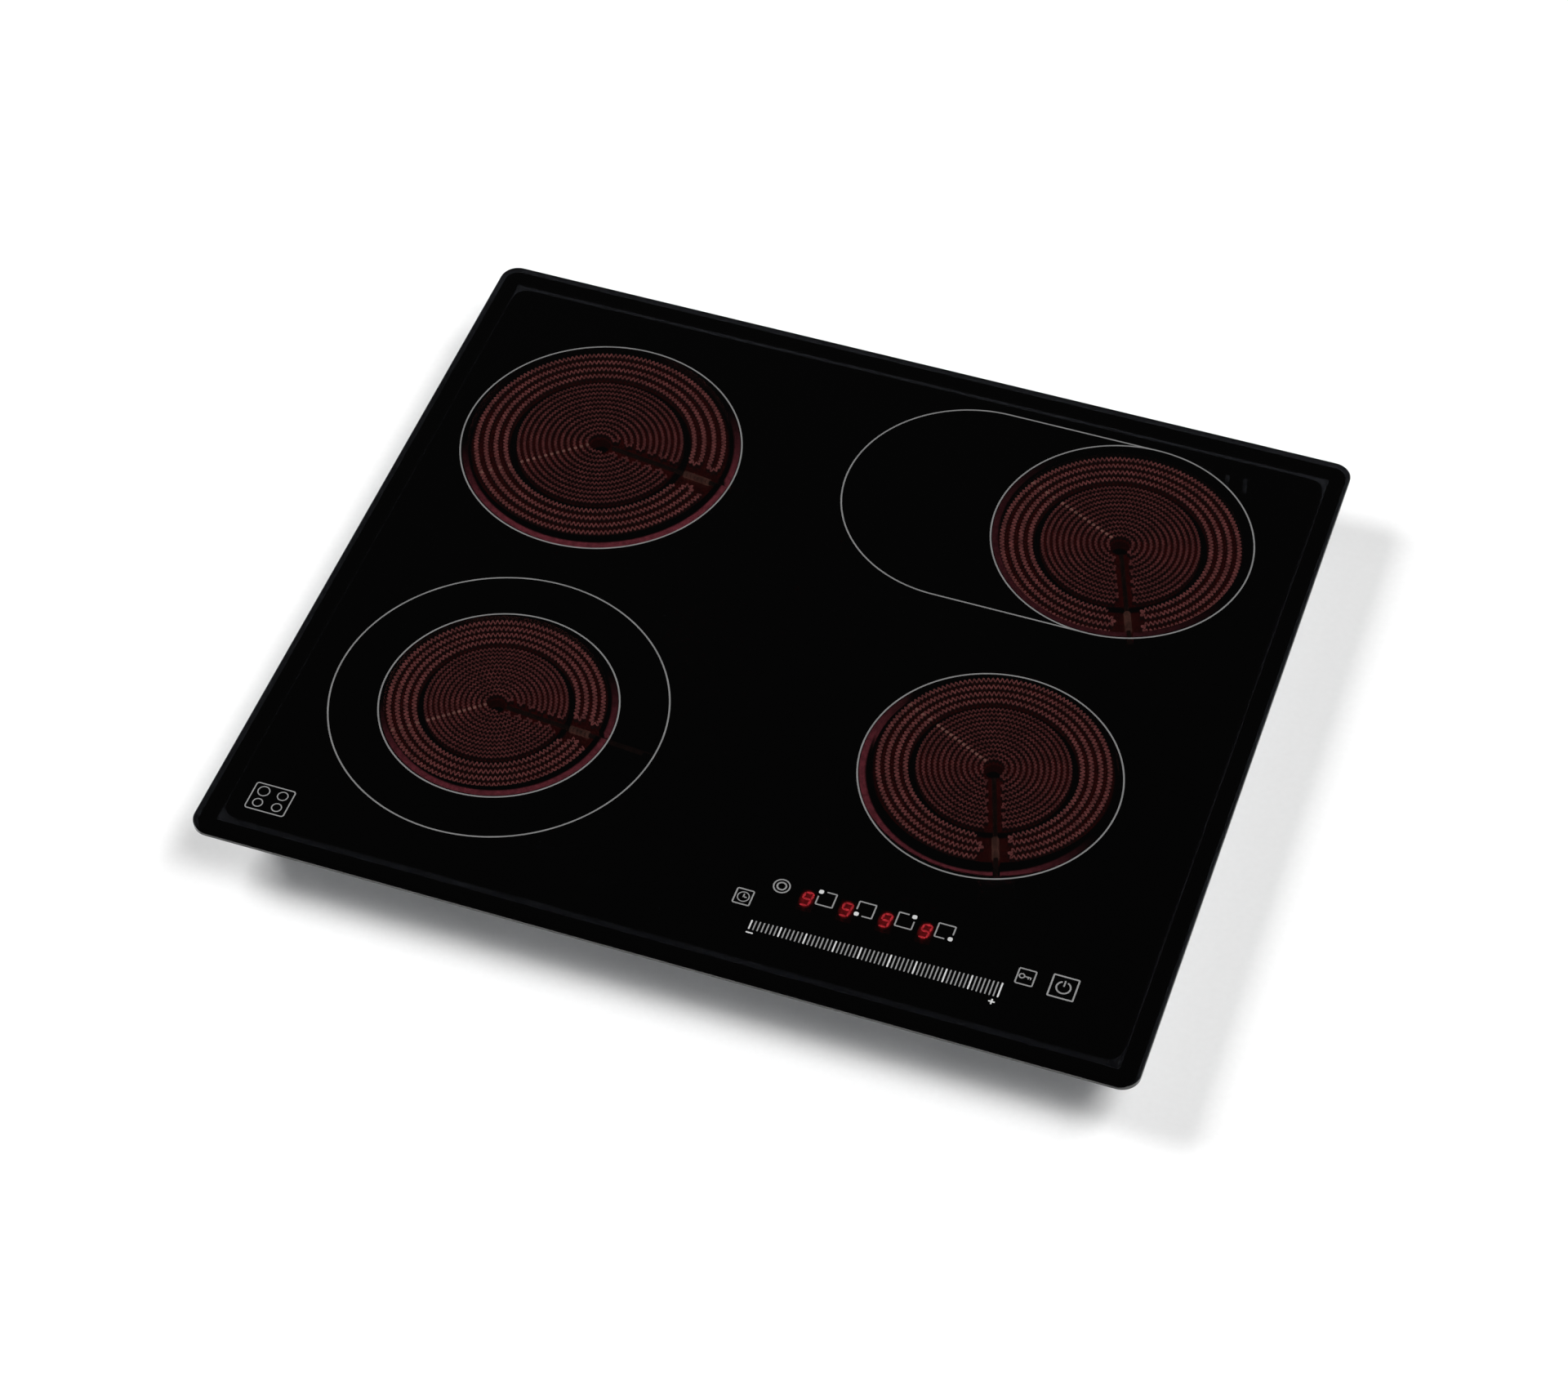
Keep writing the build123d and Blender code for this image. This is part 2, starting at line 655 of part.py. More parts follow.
def terminal_box():
    """Plastic box set into the back wall: a mouth, a bush hole and two hinge lugs."""
    box = block(*BOX_X, *BOX_Y, *BOX_Z)
    box -= block(BOX_X[0] + BOX_WALL, BOX_X[1] - BOX_WALL, BOX_Y[0] + BOX_WALL, BOX_Y[1] - BOX_WALL,
                 BOX_Z[0] + BOX_WALL, BOX_Z[1] - BOX_WALL)
    box -= block(*MOUTH_X, BOX_Y[1] - 2 * BOX_WALL, BOX_Y[1] + 1, BOX_Z[0] + BOX_WALL, BOX_Z[1] - BOX_WALL)
    box -= along_y(BUSH_X, BUSH_Z, BUSH_R, BOX_Y[1] - 2 * BOX_WALL, BOX_Y[1] + 1)
    box -= along_y(-50.0, 24.0, LEAD_R, BOX_Y[0] - 1, BOX_Y[0] + BOX_WALL + 1)
    for x in lug_places():
        box += block(x, x + LUG_THICK, BOX_Y[1] - 0.5, HINGE_Y + HINGE_R, BOX_Z[0], LUG_HIGH)
        box += block(x, x + LUG_THICK, BOX_Y[1] + COVER_GAP, HINGE_Y + HINGE_R, HINGE_Z - HINGE_R, LUG_HIGH)
        box -= along_x(HINGE_Y, HINGE_Z, HINGE_PIN_R, x - 1, x + LUG_THICK + 1)
    return box


def lug_places():
    """Left side of each hinge lug."""
    return [MOUTH_X[0] - LUG_THICK - COVER_GAP, MOUTH_X[1] + COVER_GAP]


def cover_hinge_pin():
    """Steel pin through both lugs."""
    places = lug_places()
    return along_x(HINGE_Y, HINGE_Z, HINGE_PIN_R, places[0], places[1] + LUG_THICK)


def terminal_cover():
    """Hinged cover over the terminals, with two barrels, ribs and a finger lip."""
    low = BOX_Y[1] + COVER_GAP
    cover = block(*MOUTH_X, low, low + COVER_SHEET, HINGE_Z, BOX_Z[1])
    cover += block(MOUTH_X[0] + 12, MOUTH_X[1] - 12, low, low + 2 * COVER_SHEET, BOX_Z[1] - 3, BOX_Z[1])
    cover = cover - block(MOUTH_X[0] + BARREL_LENGTH, MOUTH_X[1] - BARREL_LENGTH, low - 1, low + 3,
                          HINGE_Z - 1, HINGE_Z + HINGE_R + 1)
    for x in (MOUTH_X[0], MOUTH_X[1] - BARREL_LENGTH):
        cover += along_x(HINGE_Y, HINGE_Z, HINGE_R, x, x + BARREL_LENGTH)
        cover -= along_x(HINGE_Y, HINGE_Z, HINGE_PIN_R + HINGE_PLAY, x - 1, x + BARREL_LENGTH + 1)
    return cover


def terminal_block():
    """Five-pole mains terminal block."""
    body = block(*BLOCK_X, *BLOCK_Y, *BLOCK_Z)
    body += block(*BLOCK_X, BLOCK_Y[0] - 1, BLOCK_Y[1] - 6, BOX_Z[0] + BOX_WALL, BLOCK_Z[0] + 1)
    for x in pole_places():
        body -= along_y(x, BLOCK_Z[1] - 6, POLE_SCREW_R + 0.3, BLOCK_Y[1] - POLE_SCREW_HEAD, BLOCK_Y[1] + 1)
        body -= along_y(x, BLOCK_Z[0] + 4, 1.8, BLOCK_Y[1] - 8, BLOCK_Y[1] + 1)
    return body


def pole_places():
    """Middle of each pole along X."""
    middle = (BLOCK_X[0] + BLOCK_X[1]) / 2
    return [middle + (i - POLES // 2) * POLE_PITCH for i in range(POLES)]


def terminal_screws():
    """Slotted screw of each pole."""
    screws = []
    z = BLOCK_Z[1] - 6
    for x in pole_places():
        screw = along_y(x, z, POLE_SCREW_R, BLOCK_Y[1] - POLE_SCREW_HEAD, BLOCK_Y[1])
        slot = block(x - 3, x + 3, BLOCK_Y[1] - 0.8, BLOCK_Y[1] + 1, z - 0.35, z + 0.35)
        screws.append(screw - slot)
    return Compound(children=screws)


def cable_bush():
    """Round bush that the mains lead enters through."""
    inner = BOX_Y[1] - BUSH_LENGTH + COLLAR_LENGTH
    bush = along_y(BUSH_X, BUSH_Z, BUSH_R, inner, BOX_Y[1])
    bush += along_y(BUSH_X, BUSH_Z, BUSH_COLLAR_R, BOX_Y[1], BOX_Y[1] + COLLAR_LENGTH)
    return bush - along_y(BUSH_X, BUSH_Z, BUSH_BORE_R, inner - 1, BOX_Y[1] + COLLAR_LENGTH + 1)


# --- fasteners and clamps --------------------------------------------------
def cross_recess(x, y, z0, z1):
    """The cross in a screw head."""
    reach = SCREW_HEAD_R * 0.6
    return block(x - reach, x + reach, y - RECESS / 2, y + RECESS / 2, z0, z1) + block(
        x - RECESS / 2, x + RECESS / 2, y - reach, y + reach, z0, z1)


def clamp_screws():
    """Screw that each clamp turns on."""
    screws = []
    for x, y in CLAMP_PLACES.values():
        screw = disc(x, y, SCREW_HEAD_R, SCREW_HEAD_LOW, SCREW_HEAD_HIGH)
        screw += disc(x, y, SCREW_R, SCREW_HEAD_HIGH, SCREW_TIP)
        screws.append(screw - cross_recess(x, y, SCREW_HEAD_LOW - 1, SCREW_HEAD_LOW + RECESS))
    return Compound(children=screws)


def clamp(name):
    """Flat swivelling clamp arm, folded in along the pan's side."""
    x, y = CLAMP_PLACES[name]
    half = CLAMP_WIDTH / 2
    top = CLAMP_Z + CLAMP_THICK
    arm = disc(x, y, half, CLAMP_Z, top) + disc(x, y + CLAMP_REACH, half, CLAMP_Z, top)
    arm += block(x - half, x + half, y, y + CLAMP_REACH, CLAMP_Z, top)
    arm -= disc(x, y, SCREW_R + CLAMP_PLAY, CLAMP_Z - 1, top + 1)
    return arm - disc(x, y + CLAMP_REACH - half, SCREW_R, CLAMP_Z - 1, top + 1)


def earth_screw():
    """Earth screw in the pan's floor."""
    x, y = EARTH_PLACE
    screw = disc(x, y, SCREW_R, PAN_BOTTOM, FLOOR_TOP) + disc(x, y, SCREW_HEAD_R, FLOOR_TOP, FLOOR_TOP + 3)
    return screw - cross_recess(x, y, FLOOR_TOP + 3 - RECESS, FLOOR_TOP + 4)


# --- leads -----------------------------------------------------------------
def lead(points):
    """A round lead along straight runs joined by arcs."""
    path = FilletPolyline(*points, radius=LEAD_BEND)
    start = Plane(origin=path @ 0, z_dir=path % 0)
    return sweep(start * Circle(LEAD_R), path=path)


def lead_from_head(name, corners, end_x, end_y):
    """A lead from a limiter head, down and over to the power board."""
    tip = dish_radius(name) + DISH_GROW + HEAD_LENGTH + TAB_LENGTH + LEAD_STANDOFF + LEAD_R
    start = spoke_point(name, tip, TAB_Z + TAB_HEIGHT / 2)
    below = spoke_point(name, tip, LEAD_LOW_Z)
    return lead([start, below] + corners + [(end_x, end_y, LEAD_DROP_Z), (end_x, end_y, POWER_TOP)])


def internal_leads():
    """Sleeved leads between the terminals, the power board and the heaters."""
    leads = [
        lead_from_head("rear_left", [(-10.0, 66.0, LEAD_LOW_Z)], 34.0, 38.0),
        lead_from_head("rear_right", [(170.0, 45.0, LEAD_LOW_Z), (84.0, 42.0, 14.0)], 56.0, 34.0),
        lead_from_head("front_right", [(150.0, -158.0, LEAD_LOW_Z), (82.0, -136.0, 14.0)], 58.0, -116.0),
        lead([(-50.0, BOX_Y[0] + BOX_WALL, 24.0), (-50.0, 180.0, 24.0), (-44.0, 150.0, LEAD_LOW_Z),
              (-30.0, 76.0, LEAD_LOW_Z), (0.0, 46.0, LEAD_DROP_Z), (34.0, 20.0, LEAD_DROP_Z),
              (34.0, 20.0, POWER_TOP)]),
    ]
    tip = dish_radius("front_left") + DISH_GROW + HEAD_LENGTH + TAB_LENGTH + LEAD_STANDOFF + LEAD_R
    x, y, z = spoke_point("front_left", tip, TAB_Z + TAB_HEIGHT / 2)
    leads.append(disc(x, y, LEAD_R, POWER_TOP, z))
    return Compound(children=leads)


def all_nodes():
    """Every sub-part by its name."""
    nodes = {
        "glass_panel": glass_panel(),
        "glass_seal": glass_seal(),
        "silicone_bond": silicone_bond(),
        "base_pan": base_pan(),
        "touch_carrier": touch_carrier(),
        "touch_board": touch_board(),
        "touch_springs": touch_springs(),
        "digit_displays": digit_displays(),
        "power_board": power_board(),
        "board_standoffs": board_standoffs(),
        "power_relays": power_relays(),
        "board_parts": board_parts(),
        "terminal_box": terminal_box(),
        "terminal_block": terminal_block(),
        "terminal_screws": terminal_screws(),
        "terminal_cover": terminal_cover(),
        "cover_hinge_pin": cover_hinge_pin(),
        "cable_bush": cable_bush(),
        "earth_screw": earth_screw(),
        "clamp_screws": clamp_screws(),
        "internal_leads": internal_leads(),
        "dual_element_front_left": dual_element(),
        "oval_element_rear_right": oval_element(),
    }
    for name in ZONES:
        nodes["heater_dish_" + name] = heater_dish(name)
        nodes["insulation_base_" + name] = insulation_base(name)
        nodes["insulation_wall_" + name] = insulation_wall(name)
        nodes["core_element_" + name] = core_element(name)
        nodes["rim_element_" + name] = rim_element(name)
        nodes["limiter_rod_" + name] = limiter_rod(name)
        nodes["limiter_head_" + name] = limiter_head(name)
        nodes["leaf_springs_" + name] = leaf_springs(name)
    for name in CLAMP_PLACES:
        nodes["clamp_" + name] = clamp(name)
    return nodes


os.makedirs("parts", exist_ok=True)
for node_name, shape in all_nodes().items():
    export_step(shape, os.path.join("parts", node_name + ".step"))
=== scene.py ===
"""Looks of a built-in ceramic hob with four radiant heaters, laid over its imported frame.

Lengths are in metres on the frame's own axes: +X to the right, +Y away from the cook, +Z up.
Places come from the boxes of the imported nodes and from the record's mounts.
"""

import json
import logging
import math
from dataclasses import dataclass
from enum import Enum
from typing import Callable, Sequence

import bmesh
import bpy
from mathutils import Matrix, Vector

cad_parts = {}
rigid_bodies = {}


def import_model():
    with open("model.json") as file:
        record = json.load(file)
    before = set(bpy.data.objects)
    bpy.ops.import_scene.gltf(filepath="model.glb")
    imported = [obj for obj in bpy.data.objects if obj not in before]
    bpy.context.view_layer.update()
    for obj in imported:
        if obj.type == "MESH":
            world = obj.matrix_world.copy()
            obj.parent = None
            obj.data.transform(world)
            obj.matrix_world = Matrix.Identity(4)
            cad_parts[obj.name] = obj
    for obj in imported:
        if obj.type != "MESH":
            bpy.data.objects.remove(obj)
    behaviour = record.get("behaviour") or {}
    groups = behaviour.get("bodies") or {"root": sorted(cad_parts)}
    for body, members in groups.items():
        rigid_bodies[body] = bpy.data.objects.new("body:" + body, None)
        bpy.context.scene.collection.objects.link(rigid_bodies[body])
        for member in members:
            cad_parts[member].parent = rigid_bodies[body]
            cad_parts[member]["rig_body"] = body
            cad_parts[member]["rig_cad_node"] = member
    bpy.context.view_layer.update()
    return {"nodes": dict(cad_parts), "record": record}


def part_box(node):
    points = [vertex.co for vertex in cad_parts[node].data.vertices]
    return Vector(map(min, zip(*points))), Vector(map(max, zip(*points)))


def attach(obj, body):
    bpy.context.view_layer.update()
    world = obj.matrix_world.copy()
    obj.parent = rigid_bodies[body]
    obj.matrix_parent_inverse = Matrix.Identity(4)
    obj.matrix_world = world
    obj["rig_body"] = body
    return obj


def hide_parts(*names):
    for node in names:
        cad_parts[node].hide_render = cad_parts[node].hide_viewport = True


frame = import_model()
MM = 0.001
# How far a wall's lit lip lies from under its printed ring, so that it shows just inside the ring.
LIP_SHIFT = Vector((-0.7 * MM, 2.1 * MM, 0.0))
Colour = tuple[float, float, float]
Span = tuple[float, float]
Stops = Sequence[tuple[float, Colour]]
Socket = bpy.types.NodeSocket
Feed = Socket | float | Sequence[float]
log = logging.getLogger("hob")


# --- the bench: shaping one piece by hand ----------------------------------------


def mm(x: float, y: float, z: float = 0.0) -> Vector:
    """An offset that is given in millimetres."""
    return Vector((x * MM, y * MM, z * MM))


def deselect() -> None:
    """Leaves no object selected."""
    bpy.ops.object.select_all(action="DESELECT")


def only(obj: bpy.types.Object) -> None:
    """Makes obj the one selected and active object."""
    deselect()
    obj.select_set(True)
    bpy.context.view_layer.objects.active = obj


class Workpiece:
    """One mesh on the bench, started from a primitive and shaped in edit mode."""

    def __init__(self, name: str) -> None:
        """Takes up the object that was just added, and fixes its place in its mesh."""
        self.obj: bpy.types.Object = bpy.context.object
        self.obj.name = name
        self.obj.data.name = name
        self.settle()

    @classmethod
    def block(cls, name: str, low: Vector, high: Vector) -> "Workpiece":
        """A box from its lowest corner to its highest."""
        deselect()
        bpy.ops.mesh.primitive_cube_add(size=1, location=(low + high) / 2, scale=high - low)
        return cls(name)

    @classmethod
    def disc(cls, name: str, centre: Vector, radius: float, sides: int = 96) -> "Workpiece":
        """A flat filled circle that faces up."""
        deselect()
        bpy.ops.mesh.primitive_circle_add(
            vertices=sides, radius=radius, fill_type="NGON", location=centre
        )
        return cls(name)

    @classmethod
    def plate(cls, name: str, centre: Vector, width: float, depth: float) -> "Workpiece":
        """A flat rectangle that faces up."""
        deselect()
        bpy.ops.mesh.primitive_plane_add(size=1, location=centre)
        bpy.context.object.scale = (width, depth, 1)
        return cls(name)

    @classmethod
    def rod(cls, name: str, start: Vector, end: Vector, radius: float, sides: int) -> "Workpiece":
        """A round bar between two points.

        Args:
            name: What the piece is called.
            start: The middle of one end.
            end: The middle of the other end.
            radius: Its radius.
            sides: How many flat sides stand for the round one.

        Returns:
            The bar.
        """
        deselect()
        turn = (end - start).to_track_quat("Z", "Y").to_euler()
        bpy.ops.mesh.primitive_cylinder_add(
            vertices=sides,
            radius=radius,
            depth=(end - start).length,
            location=(start + end) / 2,
            rotation=turn,
        )
        return cls(name)

    @classmethod
    def line(cls, name: str, points: Sequence[Vector]) -> "Workpiece":
        """A bare line of edges through the points."""
        curve = bpy.data.curves.new(name, "CURVE")
        curve.dimensions = "3D"
        spline = curve.splines.new("POLY")
        spline.points.add(len(points) - 1)
        spline.points.foreach_set("co", [c for p in points for c in (*p, 1.0)])
        obj = bpy.data.objects.new(name, curve)
        bpy.context.scene.collection.objects.link(obj)
        only(obj)
        bpy.ops.object.convert(target="MESH")
        return cls(name)

    @classmethod
    def from_node(cls, name: str, node: str) -> "Workpiece":
        """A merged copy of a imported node, with its flat faces made whole again."""
        copy = frame["nodes"][node].copy()
        copy.data = copy.data.copy()
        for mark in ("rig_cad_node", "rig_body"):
            del copy[mark]
        copy.parent = None
        copy.matrix_world = Matrix.Identity(4)
        copy.hide_render = False
        bpy.context.scene.collection.objects.link(copy)
        only(copy)
        piece = cls(name)
        piece.open()
        bpy.ops.mesh.select_all(action="SELECT")
        bpy.ops.mesh.remove_doubles(threshold=0.002 * MM)
        bpy.ops.mesh.dissolve_limited(angle_limit=math.radians(0.6))
        return piece.close()

    def settle(self) -> "Workpiece":
        """Moves the object's place into its mesh, so that it sits at the origin."""
        only(self.obj)
        bpy.ops.object.transform_apply(location=True, rotation=True, scale=True)
        return self

    def open(self) -> "Workpiece":
        """Goes into edit mode with nothing selected."""
        only(self.obj)
        bpy.ops.object.mode_set(mode="EDIT")
        bpy.ops.mesh.select_all(action="DESELECT")
        return self

    def close(self) -> "Workpiece":
        """Leaves edit mode."""
        bpy.ops.object.mode_set(mode="OBJECT")
        return self

    def unpicked(self, kind: str) -> bmesh.types.BMesh:
        """The mesh in face or edge mode, with nothing selected."""
        bpy.ops.mesh.select_mode(type=kind)
        bpy.ops.mesh.select_all(action="DESELECT")
        return bmesh.from_edit_mesh(self.obj.data)

    def pick_faces(self, wanted: Callable[[Vector, Vector], bool]) -> "Workpiece":
        """Selects the faces whose middle and normal pass the test."""
        shape = self.unpicked("FACE")
        for face in shape.faces:
            face.select_set(wanted(face.calc_center_median(), face.normal))
        bmesh.update_edit_mesh(self.obj.data)
        return self

    def pick_edges(self, wanted: Callable[[Vector, Vector], bool]) -> "Workpiece":
        """Selects the edges whose middle and direction pass the test."""
        shape = self.unpicked("EDGE")
        for edge in shape.edges:
            one, two = (v.co for v in edge.verts)
            edge.select_set(wanted((one + two) / 2, (two - one).normalized()))
        bmesh.update_edit_mesh(self.obj.data)
        return self

    def everything(self) -> "Workpiece":
        """Selects all of the mesh."""
        bpy.ops.mesh.select_all(action="SELECT")
        return self

    def inset(self, thickness: float, depth: float = 0.0) -> "Workpiece":
        """Insets the selected faces, and sinks them by a depth."""
        bpy.ops.mesh.inset(thickness=thickness, depth=depth)
        return self

    def extrude(self, offset: Vector) -> "Workpiece":
        """Extrudes the selected faces by an offset."""
        bpy.ops.mesh.extrude_region_move(TRANSFORM_OT_translate={"value": offset})
        return self

    def scale(self, factors: Vector, centre: Vector) -> "Workpiece":
        """Scales what is selected about a centre."""
        bpy.ops.transform.resize(value=factors, center_override=centre)
        return self

    def bevel(self, width: float, segments: int, affect: str = "EDGES") -> "Workpiece":
        """Rounds the selected edges or corners."""
        bpy.ops.mesh.bevel(offset=width, segments=segments, affect=affect)
        return self

    def delete_faces(self) -> "Workpiece":
        """Takes the selected faces away."""
        bpy.ops.mesh.delete(type="FACE")
        return self

    def modify(self, kind: str, **settings: object) -> "Workpiece":
        """Adds a modifier with these settings and applies it."""
        only(self.obj)
        modifier = self.obj.modifiers.new(kind.lower(), kind)
        for setting, value in settings.items():
            setattr(modifier, setting, value)
        bpy.ops.object.modifier_apply(modifier=modifier.name)
        return self

    def soften(self, width: float, segments: int = 2, angle: float = 35.0) -> "Workpiece":
        """Rounds every sharp edge of the finished shape."""
        return self.modify(
            "BEVEL",
            width=width,
            segments=segments,
            limit_method="ANGLE",
            angle_limit=math.radians(angle),
            harden_normals=False,
        )

    def copy(self, name: str) -> "Workpiece":
        """A copy with its own mesh."""
        twin = self.obj.copy()
        twin.data = self.obj.data.copy()
        bpy.context.scene.collection.objects.link(twin)
        only(twin)
        return Workpiece(name)

    def move(self, matrix: Matrix) -> "Workpiece":
        """Moves the mesh itself by a matrix."""
        self.obj.data.transform(matrix)
        return self

    def join(self, others: Sequence["Workpiece"]) -> "Workpiece":
        """Takes the other pieces into this one."""
        only(self.obj)
        for other in others:
            other.obj.select_set(True)
        if others:
            bpy.ops.object.join()
        return self

    def ease(self, width: float, finish: "Finish", slot: str, node: str, body: str = "hob") -> None:
        """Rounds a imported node's copy and puts it in the node's place.

        Args:
            width: How far its edges are rounded.
            finish: Its surface.
            slot: Its material slot.
            node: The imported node.
            body: The body that it rides on.
        """
        self.soften(width)
        self.finish(finish, slot, body, [node])

    def finish(
        self,
        finish: "Finish",
        slot: str,
        body: str,
        replaces: Sequence[str] = (),
        smooth: float = 40.0,
    ) -> "Workpiece":
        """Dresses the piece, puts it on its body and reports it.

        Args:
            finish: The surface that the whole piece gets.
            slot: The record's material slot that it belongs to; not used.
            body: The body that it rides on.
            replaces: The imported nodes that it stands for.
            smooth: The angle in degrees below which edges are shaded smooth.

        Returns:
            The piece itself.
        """
        only(self.obj)
        bpy.ops.object.shade_smooth_by_angle(angle=math.radians(smooth))
        self.obj.data.materials.clear()
        self.obj.data.materials.append(finish.material())
        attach(self.obj, body)
        if replaces:
            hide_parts(*replaces)
        log.info("%s: %d faces, on %s", self.obj.name, len(self.obj.data.polygons), body)
        return self


# --- finishes ----------------------------------------------------------------------


def fill_ramp(node: bpy.types.ShaderNode, stops: Stops) -> None:
    """Gives a colour ramp its stops.

    Args:
        node: The ramp, as it was added.
        stops: Places from 0 to 1, in order, and their colours.
    """
    points = node.color_ramp.elements
    while len(points) < len(stops):
        points.new(0.5)
    for point, (where, colour) in zip(points, stops):
        point.position = where
        point.color = (*colour, 1.0)


def grey(shade: float) -> Colour:
    """A colour without a hue."""
    return (shade, shade, shade)


def shaded(colour: Colour, factor: float, lift: float = 0.0) -> Colour:
    """A colour made darker or brighter, then lifted, and never past white."""
    return tuple(min(1.0, c * factor + lift) for c in colour)


class Surface:
    """A Principled surface under construction, with the patterns that feed it."""

    def __init__(self, title: str) -> None:
        """Starts a plain surface."""
        self.material = bpy.data.materials.new(title)
        self.material.use_nodes = True
        self.nodes = self.material.node_tree.nodes
        self.links = self.material.node_tree.links
        self.shader = self.nodes["Principled BSDF"]
        self.place: Socket = self.nodes.new("ShaderNodeTexCoord").outputs["Object"]

    def add(self, kind: str, feeds: dict[str | int, Feed], **settings: object) -> bpy.types.ShaderNode:
        """Adds a node to the material.

        Args:
            kind: The node's type.
            feeds: For inputs by name or number, the socket that feeds each, or its value.
            settings: The node's own settings.

        Returns:
            The node.
        """
        node = self.nodes.new(kind)
        for name, value in settings.items():
            setattr(node, name, value)
        for key, feed in feeds.items():
            if isinstance(feed, bpy.types.NodeSocket):
                self.links.new(feed, node.inputs[key])
            else:
                node.inputs[key].default_value = feed
        return node

    def plain(self, **values: object) -> None:
        """Sets values that are the same all over; underscores stand for spaces."""
        for name, value in values.items():
            shown = (*value, 1.0) if isinstance(value, tuple) and len(value) == 3 else value
            self.shader.inputs[name.replace("_", " ")].default_value = shown

    def feed(self, name: str, socket: Socket) -> None:
        """Feeds one of the shader's inputs from a pattern."""
        self.links.new(socket, self.shader.inputs[name])

    def tint(self, value: Socket, stops: Stops) -> None:
        """Picks the base colour along a value."""
        self.feed("Base Color", self.ramp(value, stops))

    def polish(self, value: Socket, low: float, high: float, to: Span) -> None:
        """Spreads the roughness over a range, along a value."""
        self.feed("Roughness", self.range(value, low, high, to))

    def glow(self, colour: Colour, strength: Socket) -> None:
        """Gives off one colour, as strongly as a pattern says."""
        self.plain(Emission_Color=colour)
        self.feed("Emission Strength", strength)

    def blotches(self, pattern: Socket, power: float, shares: Span) -> Socket:
        """A power that a pattern makes uneven, between two shares of it."""
        return self.range(pattern, 0.3, 0.7, (shares[0] * power, shares[1] * power))

    def mapped(
        self,
        scale: Sequence[float] = (1, 1, 1),
        turn: Sequence[float] = (0, 0, 0),
        shift: Sequence[float] = (0, 0, 0),
    ) -> Socket:
        """The piece's own coordinates, shifted, turned in degrees and stretched."""
        turned = [math.radians(t) for t in turn]
        feeds = {"Vector": self.place, "Location": shift, "Rotation": turned, "Scale": scale}
        return self.add("ShaderNodeMapping", feeds).outputs["Vector"]

    def noise(
        self, scale: float, detail: float = 4.0, rough: float = 0.55, at: Socket | None = None
    ) -> Socket:
        """Soft random variation from 0 to 1."""
        feeds = {"Vector": at or self.place, "Scale": scale, "Detail": detail, "Roughness": rough}
        return self.add("ShaderNodeTexNoise", feeds).outputs["Fac"]

    def cells(
        self, scale: float, feature: str = "F1", output: str = "Distance", jitter: float = 1.0
    ) -> Socket:
        """A pattern of cells: their distance, or a random colour each."""
        feeds = {"Vector": self.place, "Scale": scale, "Randomness": jitter}
        return self.add("ShaderNodeTexVoronoi", feeds, feature=feature).outputs[output]

    def strands(self, scale: float, turn: Sequence[float]) -> Socket:
        """Even bands across an X axis that is turned by these angles."""
        feeds = {"Vector": self.mapped(turn=turn), "Scale": scale}
        return self.add("ShaderNodeTexWave", feeds, bands_direction="X").outputs["Fac"]

    def ramp(self, value: Socket, stops: Stops) -> Socket:
        """Colours picked along a value from 0 to 1."""
        node = self.add("ShaderNodeValToRGB", {"Fac": value})
        fill_ramp(node, stops)
        return node.outputs["Color"]

    def range(self, value: Socket, low: float, high: float, to: Span) -> Socket:
        """Stretches the part of a value from low to high over another range."""
        feeds = {"Value": value, "From Min": low, "From Max": high, "To Min": to[0], "To Max": to[1]}
        return self.add("ShaderNodeMapRange", feeds, interpolation_type="SMOOTHSTEP").outputs["Result"]

    def sum(self, how: str, one: Socket, two: Socket | float) -> Socket:
        """Arithmetic between two values."""
        return self.add("ShaderNodeMath", {0: one, 1: two}, operation=how).outputs["Value"]

    def distance(self, at: Socket) -> Socket:
        """How far a place is from the origin of its coordinates, seen from above."""
        flat = self.add("ShaderNodeVectorMath", {0: at, 1: (1, 1, 0)}, operation="MULTIPLY")
        feeds = {0: flat.outputs["Vector"]}
        return self.add("ShaderNodeVectorMath", feeds, operation="LENGTH").outputs["Value"]

    def axis(self, at: Socket, letter: str) -> Socket:
        """One coordinate of a place."""
        return self.add("ShaderNodeSeparateXYZ", {"Vector": at}).outputs[letter]

    def mix(self, share: Socket, one: Socket | Colour, two: Socket | Colour) -> Socket:
        """Blends two colours.

        Args:
            share: How much of the second colour there is, from 0 to 1.
            one: The first colour.
            two: The second colour.

        Returns:
            The blend.
        """
        node = self.add("ShaderNodeMix", {"Factor": share}, data_type="RGBA")
        for name, colour in (("A", one), ("B", two)):
            socket = next(s for s in node.inputs if s.name == name and s.type == "RGBA")
            if isinstance(colour, tuple):
                socket.default_value = (*colour, 1.0)
            else:
                self.links.new(colour, socket)
        return next(s for s in node.outputs if s.type == "RGBA")

    def bump(self, height: Socket, depth: float, strength: float) -> None:
        """Fine relief on top of any relief already there.

        Args:
            height: The relief's pattern.
            depth: How deep it is, in metres.
            strength: How much of it shows, from 0 to 1.
        """
        feeds: dict[str | int, Feed] = {"Strength": strength, "Distance": depth, "Height": height}
        below = self.shader.inputs["Normal"]
        if below.is_linked:
            feeds["Normal"] = below.links[0].from_socket
        self.links.new(self.add("ShaderNodeBump", feeds).outputs["Normal"], below)


